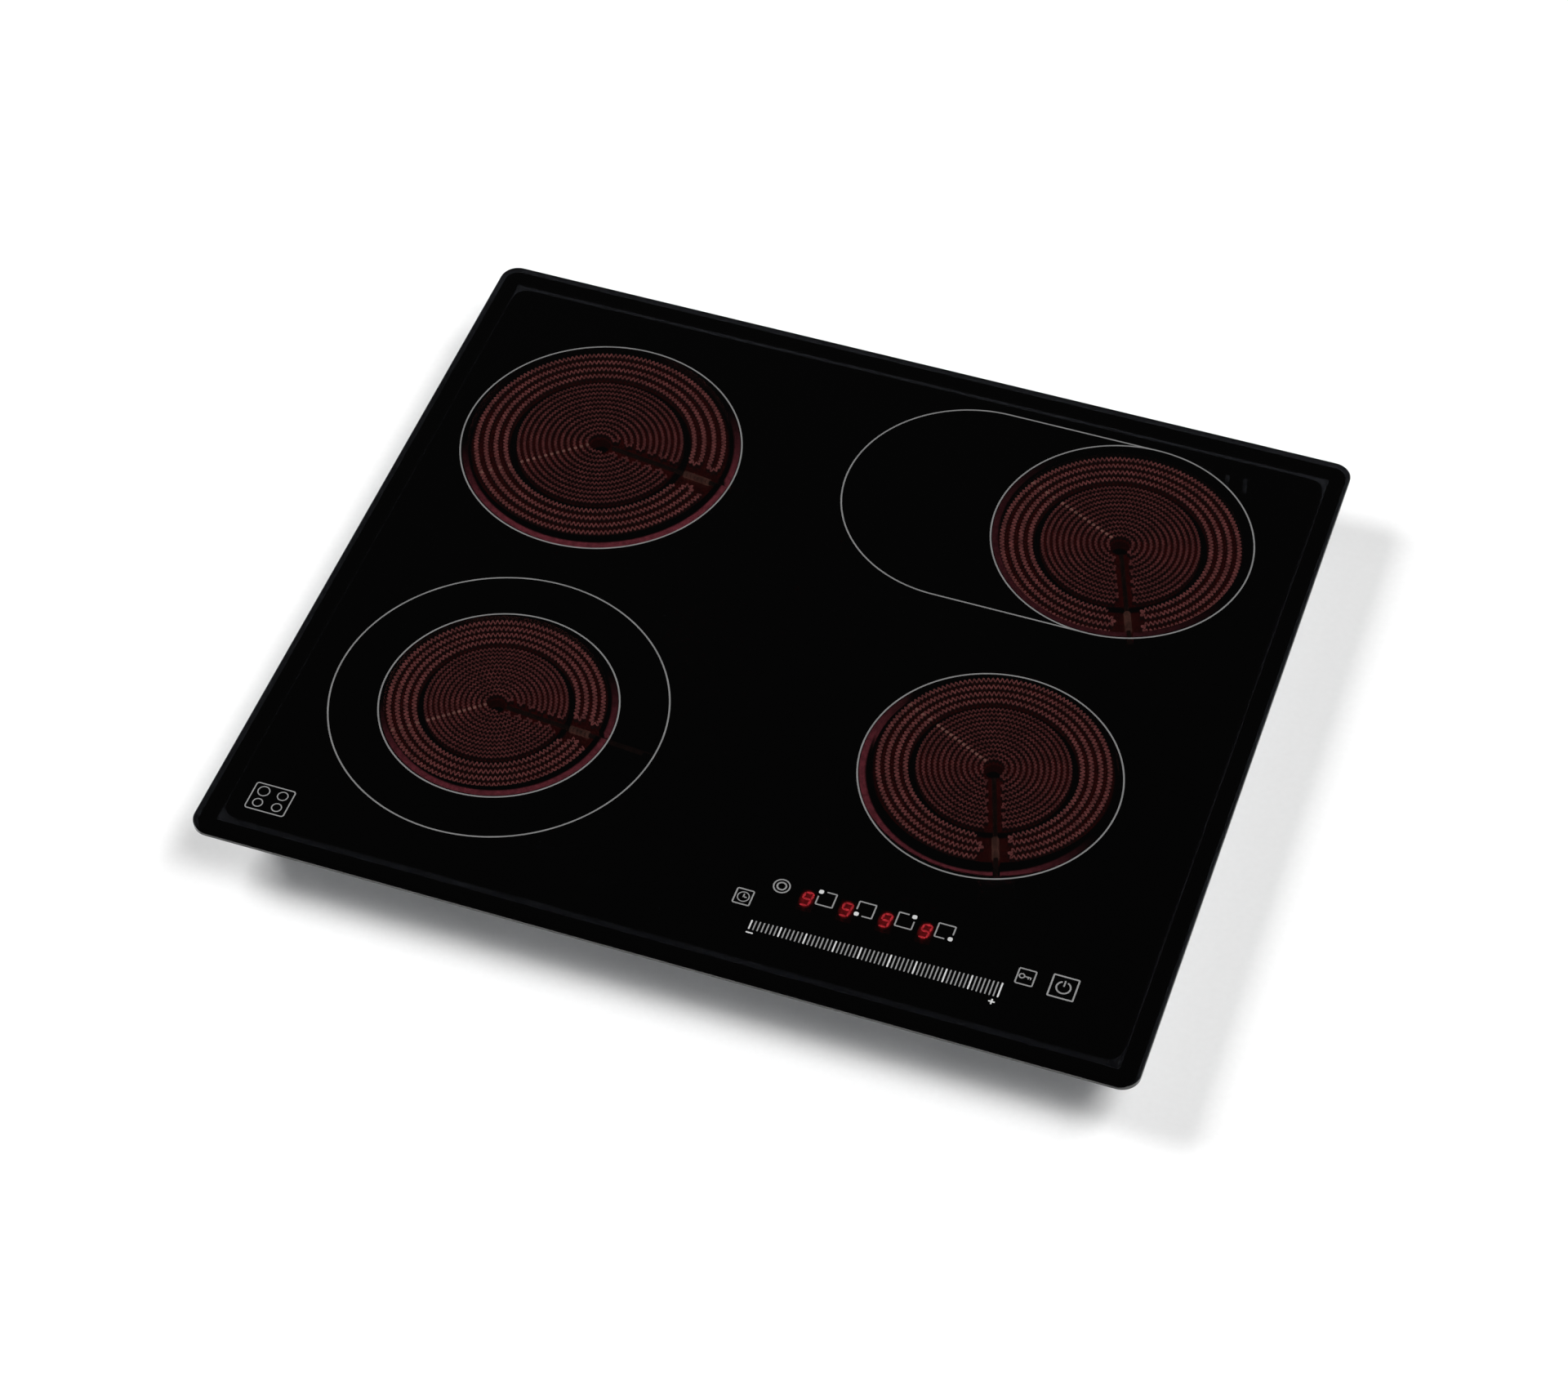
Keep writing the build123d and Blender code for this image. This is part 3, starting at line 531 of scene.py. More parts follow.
@dataclass(frozen=True)
class Finish:
    """What every finish has: a title, and the pattern that its surface shows."""

    title: str

    def paint(self, surface: Surface) -> None:
        """Builds the pattern."""
        raise NotImplementedError

    def material(self) -> bpy.types.Material:
        """The finish's material, made when it is first asked for."""
        found = bpy.data.materials.get(self.title)
        if found is None:
            surface = Surface(self.title)
            self.paint(surface)
            found = surface.material
        return found

    def dress(self, *nodes: str) -> None:
        """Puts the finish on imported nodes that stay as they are."""
        for node in nodes:
            for holder in frame["nodes"][node].material_slots:
                holder.material = self.material()
            log.info("%s: %s", node, self.title)


@dataclass(frozen=True)
class CeramicGlass(Finish):
    """Dark see-through glass ceramic with faint wiping marks."""

    tint: Colour = (0.008, 0.0085, 0.010)

    def paint(self, surface: Surface) -> None:
        """Clear tinted body; the polish varies a little where it was wiped."""
        surface.plain(Base_Color=self.tint, Transmission_Weight=1.0, IOR=1.52)
        wiped = surface.noise(9.0, 6.0, 0.7, surface.mapped(scale=(1.0, 3.2, 1.0), turn=(0, 0, 24)))
        surface.polish(wiped, 0.35, 0.75, (0.008, 0.035))


@dataclass(frozen=True)
class FiredInk(Finish):
    """Ceramic print fired onto the glass."""

    shade: float = 0.3

    def paint(self, surface: Surface) -> None:
        """Fine grain of the screen, with thin spots."""
        grain = surface.noise(3200.0, 2.0)
        worn = surface.sum("MULTIPLY", grain, surface.noise(120.0, 3.0))
        surface.tint(worn, [(0.12, grey(self.shade * 0.78)), (0.4, grey(self.shade * 1.12))])
        surface.polish(grain, 0.3, 0.7, (0.34, 0.55))
        surface.bump(grain, 0.01 * MM, 0.5)


@dataclass(frozen=True)
class HotRibbon(Finish):
    """Resistance ribbon that glows, hotter in its middle and cooler at its foot."""

    glow: Colour = (1.0, 0.28, 0.23)
    power: float = 10.0
    top: float = 0.0475
    depth: float = 0.0016

    def paint(self, surface: Surface) -> None:
        """Uneven heat along the strip, whose foot is cooled by the board, and a dull oxide skin."""
        heat = surface.noise(240.0, 3.0, 0.6)
        skin = surface.noise(2600.0, 2.0)
        surface.tint(skin, [(0.3, (0.05, 0.022, 0.016)), (0.8, (0.16, 0.07, 0.05))])
        surface.polish(skin, 0.2, 0.8, (0.5, 0.75))
        warmth = surface.ramp(heat, [(0.3, shaded(self.glow, 0.72)), (0.7, self.glow)])
        surface.feed("Emission Color", warmth)
        up = surface.axis(surface.place, "Z")
        lifted = surface.range(up, self.top - self.depth, self.top - 0.1 * self.depth, (0.04, 1.0))
        uneven = surface.range(heat, 0.25, 0.75, (0.7 * self.power, 1.15 * self.power))
        surface.feed("Emission Strength", surface.sum("MULTIPLY", lifted, uneven))


@dataclass(frozen=True)
class ColdRibbon(Finish):
    """Resistance ribbon that is switched off: a brown-grey oxide over bright metal."""

    def paint(self, surface: Surface) -> None:
        """Oxide colours that drift along the strip."""
        skin = surface.noise(2200.0, 3.0)
        colours = [(0.25, (0.10, 0.085, 0.075)), (0.5, (0.17, 0.13, 0.10)), (0.75, (0.13, 0.125, 0.13))]
        surface.tint(surface.noise(60.0, 4.0), colours)
        surface.plain(Metallic=0.85)
        surface.polish(skin, 0.2, 0.8, (0.42, 0.62))
        surface.bump(skin, 0.02 * MM, 0.5)


@dataclass(frozen=True)
class InsulationBoard(Finish):
    """Pressed microporous board: matt, dusty, with pits and stray fibres."""

    def paint(self, surface: Surface) -> None:
        """Mottled dust colour, pits and fibres."""
        mottled = surface.noise(70.0, 6.0, 0.65)
        fibres = surface.noise(420.0, 3.0, 0.7, surface.mapped(scale=(1.0, 6.0, 1.0), turn=(0, 0, 37)))
        board = [(0.25, (0.20, 0.175, 0.16)), (0.55, (0.29, 0.265, 0.245)), (0.8, (0.36, 0.335, 0.31))]
        surface.tint(mottled, board)
        surface.polish(mottled, 0.2, 0.8, (0.88, 0.98))
        surface.bump(surface.cells(900.0), 0.12 * MM, 0.6)
        surface.bump(fibres, 0.1 * MM, 0.5)

    def paint_shade(self, surface: Surface, unshaded: Socket) -> None:
        """Paints shade: blackens the board wherever a pattern of unshaded places is dark."""
        board = surface.shader.inputs["Base Color"].links[0].from_socket
        # painted shade: a near-black colour wherever the pattern is dark
        surface.feed("Base Color", surface.mix(unshaded, (0.012, 0.010, 0.010), board))


@dataclass(frozen=True)
class LitBed(InsulationBoard):
    """The same board under hot ribbons, glowing back with painted red light where the tracks run, with
    painted shade beside them.
    """

    centre: Span = (0.0, 0.0)
    size: float = 0.09
    power: float = 1.3
    core: Span = (0.06, 0.605)
    rim: Span = (0.645, 0.93)
    rim_share: float = 0.8

    def paint(self, surface: Surface) -> None:
        """Adds a painted red glow of light under the core and the rim, with painted shade (near-black
        rings) beside them.
        """
        super().paint(surface)
        middle = surface.mapped(shift=(-self.centre[0], -self.centre[1], 0.0))
        share = surface.sum("DIVIDE", surface.distance(middle), self.size)
        off, full, half = grey(0.0), grey(1.0), grey(self.rim_share)
        core = [(self.core[0], off), (0.08, full), (0.585, full), (self.core[1], off)]
        rim = [(self.rim[0], off), (0.66, half), (0.905, half), (self.rim[1], off)]
        lit = surface.ramp(share, [*core, *rim])
        uneven = surface.blotches(surface.noise(180.0, 4.0, 0.7), self.power, (0.6, 1.3))
        # painted light: the board glows red where the ribbons would light it
        surface.glow((1.0, 0.03, 0.02), surface.sum("MULTIPLY", lit, uneven))
        # painted shade: the board is near-black off the lit tracks
        self.paint_shade(surface, lit)


@dataclass(frozen=True)
class LitWall(InsulationBoard):
    """The board's edge wall, in painted shade, with a thin lip of painted light where the heat lights it
    on one side.
    """

    centre: Span = (0.0, 0.0)
    reach: float = 0.09
    towards: float = -60.0
    power: float = 9.0
    lip: float = 4.2 * MM
    blur: float = 0.8 * MM

    def paint(self, surface: Surface) -> None:
        """Adds a painted crescent of red light that fades out round both sides, with painted shade away
        from the lip.
        """
        super().paint(surface)
        turned = surface.mapped(turn=(0, 0, -self.towards), shift=self.turned_back())
        across = surface.sum("DIVIDE", surface.axis(turned, "X"), self.reach)
        side = surface.range(across, -0.25, 0.8, (0.0, 1.0))
        away = surface.distance(turned)
        foot = self.reach - self.lip
        outer = surface.range(away, self.reach - self.blur, self.reach, (1.0, 0.0))
        inner = surface.range(away, foot - self.blur, foot + self.blur, (0.0, 1.0))
        band = surface.sum("MULTIPLY", outer, inner)
        uneven = surface.blotches(surface.noise(260.0, 4.0, 0.7), self.power, (0.6, 1.2))
        lit = surface.sum("MULTIPLY", surface.sum("MULTIPLY", side, band), uneven)
        # painted light: the lip glows as if lit by the hot ribbons; the board is no lamp
        surface.glow((1.0, 0.17, 0.2), lit)
        # painted shade: the wall is near-black away from its lit lip
        self.paint_shade(surface, band)

    def turned_back(self) -> tuple[float, float, float]:
        """The shift that brings the circle's centre to the origin after the turn."""
        x, y = Matrix.Rotation(math.radians(-self.towards), 2) @ Vector(self.centre)
        return -x, -y, 0.0


@dataclass(frozen=True)
class QuartzTube(Finish):
    """Milky quartz, with painted warm light from the tracks it crosses."""

    body: Colour
    power: float

    def paint(self, surface: Surface) -> None:
        """Cloudy body with a faint painted glow of warm light."""
        cloud_and_glow = surface.noise(150.0, 3.0)
        surface.tint(cloud_and_glow, [(0.3, self.body), (0.7, shaded(self.body, 1.5))])
        surface.polish(cloud_and_glow, 0.3, 0.7, (0.12, 0.3))
        # painted light: the glow stands for the tracks' light on the rod and beads
        surface.glow((1.0, 0.4, 0.26), surface.blotches(cloud_and_glow, self.power, (0.6, 1.3)))


@dataclass(frozen=True)
class GlazedCeramic(Finish):
    """Pressed ceramic, with speckles and a grain that the polish depends on."""

    body: Colour
    polish: float

    def paint(self, surface: Surface) -> None:
        """Warm mottling, dark specks and a fine grain."""
        mottled = surface.noise(90.0, 4.0)
        base = surface.ramp(mottled, [(0.3, shaded(self.body, 0.86)), (0.75, self.body)])
        speck = surface.range(surface.cells(700.0), 0.05, 0.11, (1.0, 0.0))
        surface.feed("Base Color", surface.mix(speck, base, shaded(self.body, 0.45)))
        surface.polish(mottled, 0.2, 0.8, (self.polish, self.polish + 0.18))
        surface.bump(surface.noise(1800.0, 3.0), 0.04 * MM, 0.6)


@dataclass(frozen=True)
class GalvanisedSheet(Finish):
    """Hot-dip zinc on sheet steel: a spangle of crystals over faint rolling lines."""

    spangle: float = 105.0

    def paint(self, surface: Surface) -> None:
        """Each crystal has its own shade and polish."""
        crystal = surface.cells(self.spangle, output="Color")
        edge = surface.cells(self.spangle, feature="DISTANCE_TO_EDGE")
        shade = surface.sum("MULTIPLY", surface.axis(crystal, "X"), 0.55)
        rolled = surface.noise(55.0, 4.0, 0.6, surface.mapped(scale=(0.6, 9.0, 9.0)))
        greys = [(0.0, (0.40, 0.41, 0.42)), (0.5, (0.52, 0.53, 0.545)), (1.0, (0.64, 0.65, 0.66))]
        surface.tint(surface.sum("ADD", shade, surface.sum("MULTIPLY", rolled, 0.45)), greys)
        surface.plain(Metallic=1.0)
        surface.polish(surface.axis(crystal, "Y"), 0.0, 1.0, (0.27, 0.46))
        surface.bump(surface.range(edge, 0.0, 0.08, (0.0, 1.0)), 0.02 * MM, 0.4)
        surface.bump(rolled, 0.03 * MM, 0.35)


@dataclass(frozen=True)
class HeatTintedSheet(Finish):
    """Aluminised steel, straw and blue where the heat has reached its rim."""

    low: float = 0.026
    high: float = 0.0485

    def paint(self, surface: Surface) -> None:
        """Brushed grey below, tinted towards the rim."""
        brushed = surface.noise(80.0, 5.0, 0.65, surface.mapped(scale=(1.0, 1.0, 14.0)))
        up = surface.range(surface.axis(surface.place, "Z"), self.low, self.high, (0.0, 1.0))
        streaks = surface.sum("MULTIPLY", brushed, 0.35)
        drift = surface.sum("ADD", streaks, surface.sum("MULTIPLY", up, 0.75))
        bare = [(0.25, (0.56, 0.56, 0.55)), (0.72, (0.53, 0.52, 0.49))]
        surface.tint(drift, [*bare, (0.86, (0.46, 0.38, 0.26)), (0.98, (0.26, 0.25, 0.33))])
        surface.plain(Metallic=1.0)
        surface.polish(brushed, 0.25, 0.75, (0.32, 0.52))
        surface.bump(brushed, 0.03 * MM, 0.4)


@dataclass(frozen=True)
class PlatedSteel(Finish):
    """Small steel parts with a thin plating that has its own colour drift."""

    one: Colour
    two: Colour
    polish: float

    def paint(self, surface: Surface) -> None:
        """Plating colours that drift, fine scratches and a slight orange peel."""
        scratches = surface.noise(900.0, 2.0, 0.5, surface.mapped(scale=(1.0, 18.0, 1.0), turn=(0, 0, 18)))
        surface.tint(surface.noise(65.0, 3.0), [(0.35, self.one), (0.65, self.two)])
        surface.plain(Metallic=1.0)
        surface.polish(scratches, 0.3, 0.75, (self.polish, self.polish + 0.2))
        surface.bump(scratches, 0.015 * MM, 0.4)
        surface.bump(surface.noise(1400.0, 2.0), 0.01 * MM, 0.4)


@dataclass(frozen=True)
class MouldedPlastic(Finish):
    """Moulded plastic with a spark-eroded grain and a little dust in it."""

    body: Colour = (0.022, 0.022, 0.024)
    grain: float = 1900.0
    polish: float = 0.45

    def paint(self, surface: Surface) -> None:
        """Leathery grain, flow marks and scuffed high spots."""
        flow = surface.noise(26.0, 5.0, 0.6)
        surface.tint(flow, [(0.3, self.body), (0.8, shaded(self.body, 1.55, 0.004))])
        worn = surface.sum("MULTIPLY", flow, surface.noise(700.0, 2.0))
        surface.polish(worn, 0.1, 0.45, (self.polish, self.polish + 0.25))
        surface.bump(surface.cells(self.grain), 0.05 * MM, 0.6)


@dataclass(frozen=True)
class SoftRubber(Finish):
    """Rubber, foam or silicone: matt, with pores of a given size."""

    body: Colour
    pores: float
    relief: float

    def paint(self, surface: Surface) -> None:
        """Open pores and a dusty bloom."""
        bloom = surface.noise(45.0, 5.0, 0.6)
        surface.tint(bloom, [(0.35, self.body), (0.75, shaded(self.body, 1.7, 0.006))])
        surface.polish(bloom, 0.2, 0.8, (0.72, 0.92))
        surface.bump(surface.cells(self.pores), self.relief, 0.7)


@dataclass(frozen=True)
class CircuitBoard(Finish):
    """Green solder mask over copper tracks, with tinned pads."""

    def paint(self, surface: Surface) -> None:
        """Tracks as a maze of bricks, pads as a loose grid of dots."""
        feeds = {"Vector": surface.place, "Scale": 110.0, "Mortar Size": 0.035}
        bricks = {**feeds, "Brick Width": 0.9, "Row Height": 0.32}
        maze = surface.add("ShaderNodeTexBrick", bricks).outputs["Fac"]
        pads = surface.range(surface.cells(230.0, jitter=0.35), 0.16, 0.2, (1.0, 0.0))
        mask = surface.mix(maze, (0.010, 0.085, 0.032), (0.028, 0.17, 0.06))
        surface.feed("Base Color", surface.mix(pads, mask, (0.55, 0.54, 0.50)))
        surface.feed("Metallic", pads)
        surface.polish(surface.noise(1500.0, 2.0), 0.2, 0.8, (0.24, 0.38))
        surface.bump(maze, 0.03 * MM, 0.6)
        surface.bump(pads, 0.15 * MM, 0.7)


@dataclass(frozen=True)
class SleevedLead(Finish):
    """Silicone sleeve over wire, with a woven liner that shows through."""

    body: Colour = (0.42, 0.05, 0.035)
    strands: float = 420.0

    def paint(self, surface: Surface) -> None:
        """Two crossing sets of strands and a chalky bloom."""
        crossing = [surface.strands(self.strands, (35, 0, turn)) for turn in (45, -45)]
        bloom = surface.noise(120.0, 4.0)
        surface.tint(bloom, [(0.3, self.body), (0.8, shaded(self.body, 1.35, 0.03))])
        surface.polish(bloom, 0.2, 0.8, (0.5, 0.7))
        surface.bump(surface.sum("MAXIMUM", *crossing), 0.08 * MM, 0.5)


@dataclass(frozen=True)
class DisplayFace(Finish):
    """Red tinted display cases, each lit from inside by its own digit."""

    first: Span
    pitch: float
    halo: Span = (4.6 * MM, 7.2 * MM)
    power: float = 10.0

    def paint(self, surface: Surface) -> None:
        """Stray light that fades away from each digit, in a dark red resin."""
        stray = surface.noise(420.0, 3.0, 0.6)
        surface.tint(stray, [(0.3, (0.05, 0.004, 0.004)), (0.7, (0.09, 0.008, 0.007))])
        surface.polish(stray, 0.3, 0.7, (0.25, 0.4))
        at = surface.mapped(shift=(-self.first[0], -self.first[1], 0.0))
        along = surface.sum("PINGPONG", surface.axis(at, "X"), self.pitch / 2)
        away = [surface.sum("DIVIDE", v, h) for v, h in zip((along, surface.axis(at, "Y")), self.halo)]
        squares = [surface.sum("MULTIPLY", v, v) for v in away]
        fade = surface.range(surface.sum("ADD", *squares), 0.3, 1.1, (1.0, 0.03))
        uneven = surface.blotches(stray, self.power, (0.6, 1.3))
        surface.glow((1.0, 0.03, 0.035), surface.sum("MULTIPLY", fade, uneven))


@dataclass(frozen=True)
class LitSegment(Finish):
    """One lit bar of a digit, brightest where its diode sits."""

    power: float = 52.0

    def paint(self, surface: Surface) -> None:
        """Hot spots along the bar."""
        surface.plain(Base_Color=(0.35, 0.02, 0.02), Roughness=0.35)
        to = (1.25 * self.power, 0.7 * self.power)
        surface.glow((1.0, 0.05, 0.06), surface.range(surface.cells(520.0), 0.1, 0.7, to))


@dataclass(frozen=True)
class StudioFloor(Finish):
    """Plain pale sweep that the hob stands on, backlit far from it."""

    near: float = 1.3
    far: float = 4.0
    power: float = 0.85

    def paint(self, surface: Surface) -> None:
        """An even near-white with a faint paper tooth, lit from within where the lamps don't reach."""
        surface.tint(surface.noise(260.0, 3.0), [(0.2, grey(0.86)), (0.8, grey(0.89))])
        surface.plain(Roughness=0.7)
        away = surface.distance(surface.mapped())
        surface.glow(grey(1.0), surface.range(away, self.near, self.far, (0.0, self.power)))


class House:
    """The finishes that the whole hob shares."""

    GLASS = CeramicGlass("tinted glass ceramic")
    RING_INK = FiredInk("ring ink", 0.15)
    GREY_INK = FiredInk("grey key ink", 0.20)
    WHITE_INK = FiredInk("white key ink", 0.48)
    SEAL = SoftRubber("closed-cell seal foam", (0.028, 0.028, 0.03), 1300.0, 0.2 * MM)
    BOND = SoftRubber("black silicone bond", (0.02, 0.02, 0.02), 300.0, 0.03 * MM)
    PAN = GalvanisedSheet("galvanised pan sheet")
    DISH = HeatTintedSheet("aluminised dish sheet")
    BOARD = InsulationBoard("microporous board")
    RIM_HOT = HotRibbon("glowing rim ribbon", power=12.8)
    CORE_HOT = HotRibbon("glowing core ribbon", (1.0, 0.25, 0.21), 8.2)
    CLIP_HOT = HotRibbon("glowing ribbon clips", (1.0, 0.42, 0.30), 17.0, 0.0479, 0.004)
    RIBBON_COLD = ColdRibbon("cold oxidised ribbon")
    ROD = QuartzTube("quartz limiter rod", (0.10, 0.07, 0.06), 0.35)
    BEADS = QuartzTube("ceramic limiter beads", (0.42, 0.31, 0.27), 3.4)
    HEAD = GlazedCeramic("steatite limiter head", (0.74, 0.71, 0.63), 0.6)
    SPRING = PlatedSteel("blued leaf spring", (0.20, 0.22, 0.30), (0.40, 0.36, 0.28), 0.3)
    SCREW = PlatedSteel("zinc plated screws", (0.62, 0.62, 0.60), (0.68, 0.66, 0.56), 0.2)
    CLAMP = PlatedSteel("passivated clamp steel", (0.62, 0.60, 0.50), (0.66, 0.55, 0.44), 0.28)
    PLASTIC = MouldedPlastic("black moulded plastic")
    TERMINAL = GlazedCeramic("off-white terminal moulding", (0.70, 0.68, 0.60), 0.32)
    BUSH = SoftRubber("soft black bush rubber", (0.016, 0.016, 0.017), 2600.0, 0.04 * MM)
    CIRCUIT = CircuitBoard("green circuit board")
    KEY_FOAM = SoftRubber("conductive key foam", (0.06, 0.06, 0.065), 1900.0, 0.1 * MM)
    PARTS = MouldedPlastic("component cases", (0.035, 0.038, 0.05), 2400.0, 0.3)
    RELAY = MouldedPlastic("relay cases", (0.02, 0.045, 0.10), 2400.0, 0.28)
    LEADS = SleevedLead("silicone lead sleeve")
    SEGMENT = LitSegment("lit digit bars")
    FLOOR = StudioFloor("studio floor")


# --- zones -------------------------------------------------------------------------


def zone_point(zone: str) -> Vector:
    """Where the record says that a zone's printed centre is."""
    for mount in frame["record"]["mounts"]:
        if mount["name"] == f"cook_zone_{zone}":
            return Vector(mount["pos_m"])
    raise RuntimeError(f"the record has no mount for {zone}")


def spread(first: float, last: float, count: int) -> list[float]:
    """Evenly spaced values from first to last."""
    return [first + (last - first) * i / (count - 1) for i in range(count)]


@dataclass(frozen=True)
class Arc:
    """Part of a circle, its angles in degrees."""

    x: float
    y: float
    radius: float
    start: float
    sweep: float

    @property
    def length(self) -> float:
        """How long the arc is."""
        return abs(math.radians(self.sweep)) * self.radius

    def point(self, share: float, aside: float, height: float) -> Vector:
        """A point along the arc, moved aside from its line."""
        turn = math.radians(self.start + self.sweep * share)
        reach = self.radius + aside * (-1.0 if self.sweep > 0 else 1.0)
        return Vector((self.x + reach * math.cos(turn), self.y + reach * math.sin(turn), height))


@dataclass(frozen=True)
class Track:
    """A ribbon that doubles back at the gap, circle by circle."""

    centre: Vector
    radii: tuple[float, ...]
    gap: float
    half_angle: Callable[[float], float]

    def arcs(self) -> list[Arc]:
        """The circles and the hairpins between them, in the order of travel."""
        found: list[Arc] = []
        for i, radius in enumerate(self.radii):
            even = i % 2 == 0
            near = self.half_angle(self.between(i, i + 1 if even else i - 1))
            far = self.half_angle(self.between(i, i - 1 if even else i + 1))
            sweep = 360.0 - near - far
            start = self.gap - far if even else self.gap + near
            found.append(Arc(self.centre.x, self.centre.y, radius, start, -sweep if even else sweep))
            if i + 1 == len(self.radii):
                break
            turn_at = self.gap + near if even else self.gap - far
            reach = (self.radii[i + 1] - radius) / 2
            x = self.centre.x + (radius + reach) * math.cos(math.radians(turn_at))
            y = self.centre.y + (radius + reach) * math.sin(math.radians(turn_at))
            found.append(Arc(x, y, reach, turn_at + 180.0, 180.0 if even else -180.0))
        return found

    def between(self, i: int, j: int) -> float:
        """The middle of two neighbouring circles, or the one that has no neighbour."""
        return (self.radii[i] + self.radii[j]) / 2 if 0 <= j < len(self.radii) else self.radii[i]

    def wavy_line(self, wave: float, swing: float, steps: int, height: float) -> list[Vector]:
        """The strip's corrugated centre line.

        Args:
            wave: Length of one corrugation.
            swing: How far it swings to each side.
            steps: Points to a corrugation.
            height: Height of the line.

        Returns:
            The points in the order of travel.
        """
        points: list[Vector] = []
        travelled = 0.0
        for arc in self.arcs():
            count = max(6, round(arc.length / wave * steps))
            for k in range(count):
                along = travelled + arc.length * k / count
                aside = swing * math.sin(2 * math.pi * along / wave)
                points.append(arc.point(k / count, aside, height))
            travelled += arc.length
        return points


def parallel_gap(half_gap: float) -> Callable[[float], float]:
    """End angles that leave a gap with straight, parallel sides."""
    return lambda radius: math.degrees(math.asin(min(half_gap / radius, 0.9)))


@dataclass(frozen=True)
class Corrugation:
    """How a strip is folded and how thick it is."""

    wave: float
    swing: float
    sheet: float
    steps: int


@dataclass
class RadiantHeater:
    """One heater: its dish, board, ribbons and temperature limiter.

    Gaps and the places of tracks are shares of the heater's size, and angles are in degrees.
    The gap and the limiter rod point one way, the seam of clips another, and the lit crescent
    of the wall a third.
    """

    zone: str
    gap: float
    seam: float
    lit_reach: float
    crescent: float
    crescent_power: float
    core_tracks: int = 12
    core_first: float = 0.095
    core_last: float = 0.585
    core_gap: float = 0.045
    core_sheet: float = 2.0 * MM
    rim_tracks: int = 4
    rim_first: float = 0.675
    rim_last: float = 0.885
    rim_gap: float = 0.088
    rim_sheet: float = 3.0 * MM
    rod_radius: float = 1.5 * MM
    bead_radius: float = 2.3 * MM
    bead_length: float = 2.4 * MM
    bead_pitch: float = 2.7 * MM
    fold_core: Corrugation = Corrugation(2.6 * MM, 0.85 * MM, 0.36 * MM, 8)
    fold_rim: Corrugation = Corrugation(2.9 * MM, 1.3 * MM, 0.45 * MM, 9)

    @property
    def body(self) -> str:
        """The body that all of the heater rides on."""
        return f"heater_{self.zone}"

    @property
    def centre(self) -> Vector:
        """The heater's own middle; an oval dish has it at its right-hand end."""
        low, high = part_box(f"heater_dish_{self.zone}")
        half = (high.y - low.y) / 2
        return Vector((high.x - half, (low.y + high.y) / 2, 0.0))

    @property
    def size(self) -> float:
        """The radius that the tracks are laid out from."""
        low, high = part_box(f"rim_element_{self.zone}")
        widest = max(high.x - low.x, high.y - low.y) / 2
        return (widest - self.rim_sheet / 2) / self.rim_last

    def outward(self, reach: float, angle: float, height: float) -> Vector:
        """A point at a distance and angle from the heater's middle."""
        turn = math.radians(angle)
        return self.centre + Vector((reach * math.cos(turn), reach * math.sin(turn), height))

    def track(self, radii: Sequence[float], gap: float, sheet: float) -> Track:
        """One round group of tracks.

        Args:
            radii: The radius of each track.
            gap: Half of the group's gap, as a share of the size.
            sheet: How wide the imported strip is.

        Returns:
            The tracks.
        """
        half_gap = gap * self.size + (radii[1] - radii[0]) / 2 + sheet / 2
        return Track(self.centre, tuple(radii), self.gap, parallel_gap(half_gap))

    def strip(self, node: str, track: Track, fold: Corrugation, finish: Finish) -> None:
        """A corrugated strip on edge that stands for a packed element.

        Args:
            node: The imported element.
            track: Where the strip runs.
            fold: How it is corrugated.
            finish: Its surface.
        """
        low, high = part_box(node)
        points = track.wavy_line(fold.wave, fold.swing, fold.steps, low.z)
        piece = Workpiece.line(f"ribbon_{node}", points)
        piece.open().everything()
        rise = Vector((0, 0, high.z - low.z))
        bpy.ops.mesh.extrude_edges_move(TRANSFORM_OT_translate={"value": rise})
        piece.close()
        piece.modify("SOLIDIFY", thickness=fold.sheet, offset=0.0, use_even_offset=True)
        piece.finish(finish, "heating_ribbon", self.body, [node], smooth=60.0)

    def ribbons(self) -> None:
        """The core and the rim."""
        size = self.size
        core_radii = spread(self.core_first * size, self.core_last * size, self.core_tracks)
        rim_radii = spread(self.rim_first * size, self.rim_last * size, self.rim_tracks)
        core = self.track(core_radii, self.core_gap, self.core_sheet)
        rim = self.track(rim_radii, self.rim_gap, self.rim_sheet)
        self.strip(f"core_element_{self.zone}", core, self.fold_core, House.CORE_HOT)
        self.strip(f"rim_element_{self.zone}", rim, self.fold_rim, House.RIM_HOT)
        self.clips(core, rim)

    def clips(self, core: Track, rim: Track) -> None:
        """The row of wire clips that holds the strips down along the seam."""
        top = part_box(f"core_element_{self.zone}")[1].z
        half = mm(0.95, 0.8, 0.4)
        clip = Workpiece.block(f"ribbon_clips_{self.zone}", -half, half)
        clip.soften(0.2 * MM, 2)
        turn = Matrix.Rotation(math.radians(self.seam), 4, "Z")
        copies = []
        for radius in (*core.radii, *rim.radii):
            place = Matrix.Translation(self.outward(radius, self.seam, top + half.z * 0.4))
            copies.append(clip.copy("clip").move(place @ turn))
        bpy.data.objects.remove(clip.obj)
        copies[0].obj.name = f"ribbon_clips_{self.zone}"
        copies[0].join(copies[1:]).finish(House.CLIP_HOT, "heating_ribbon", self.body)

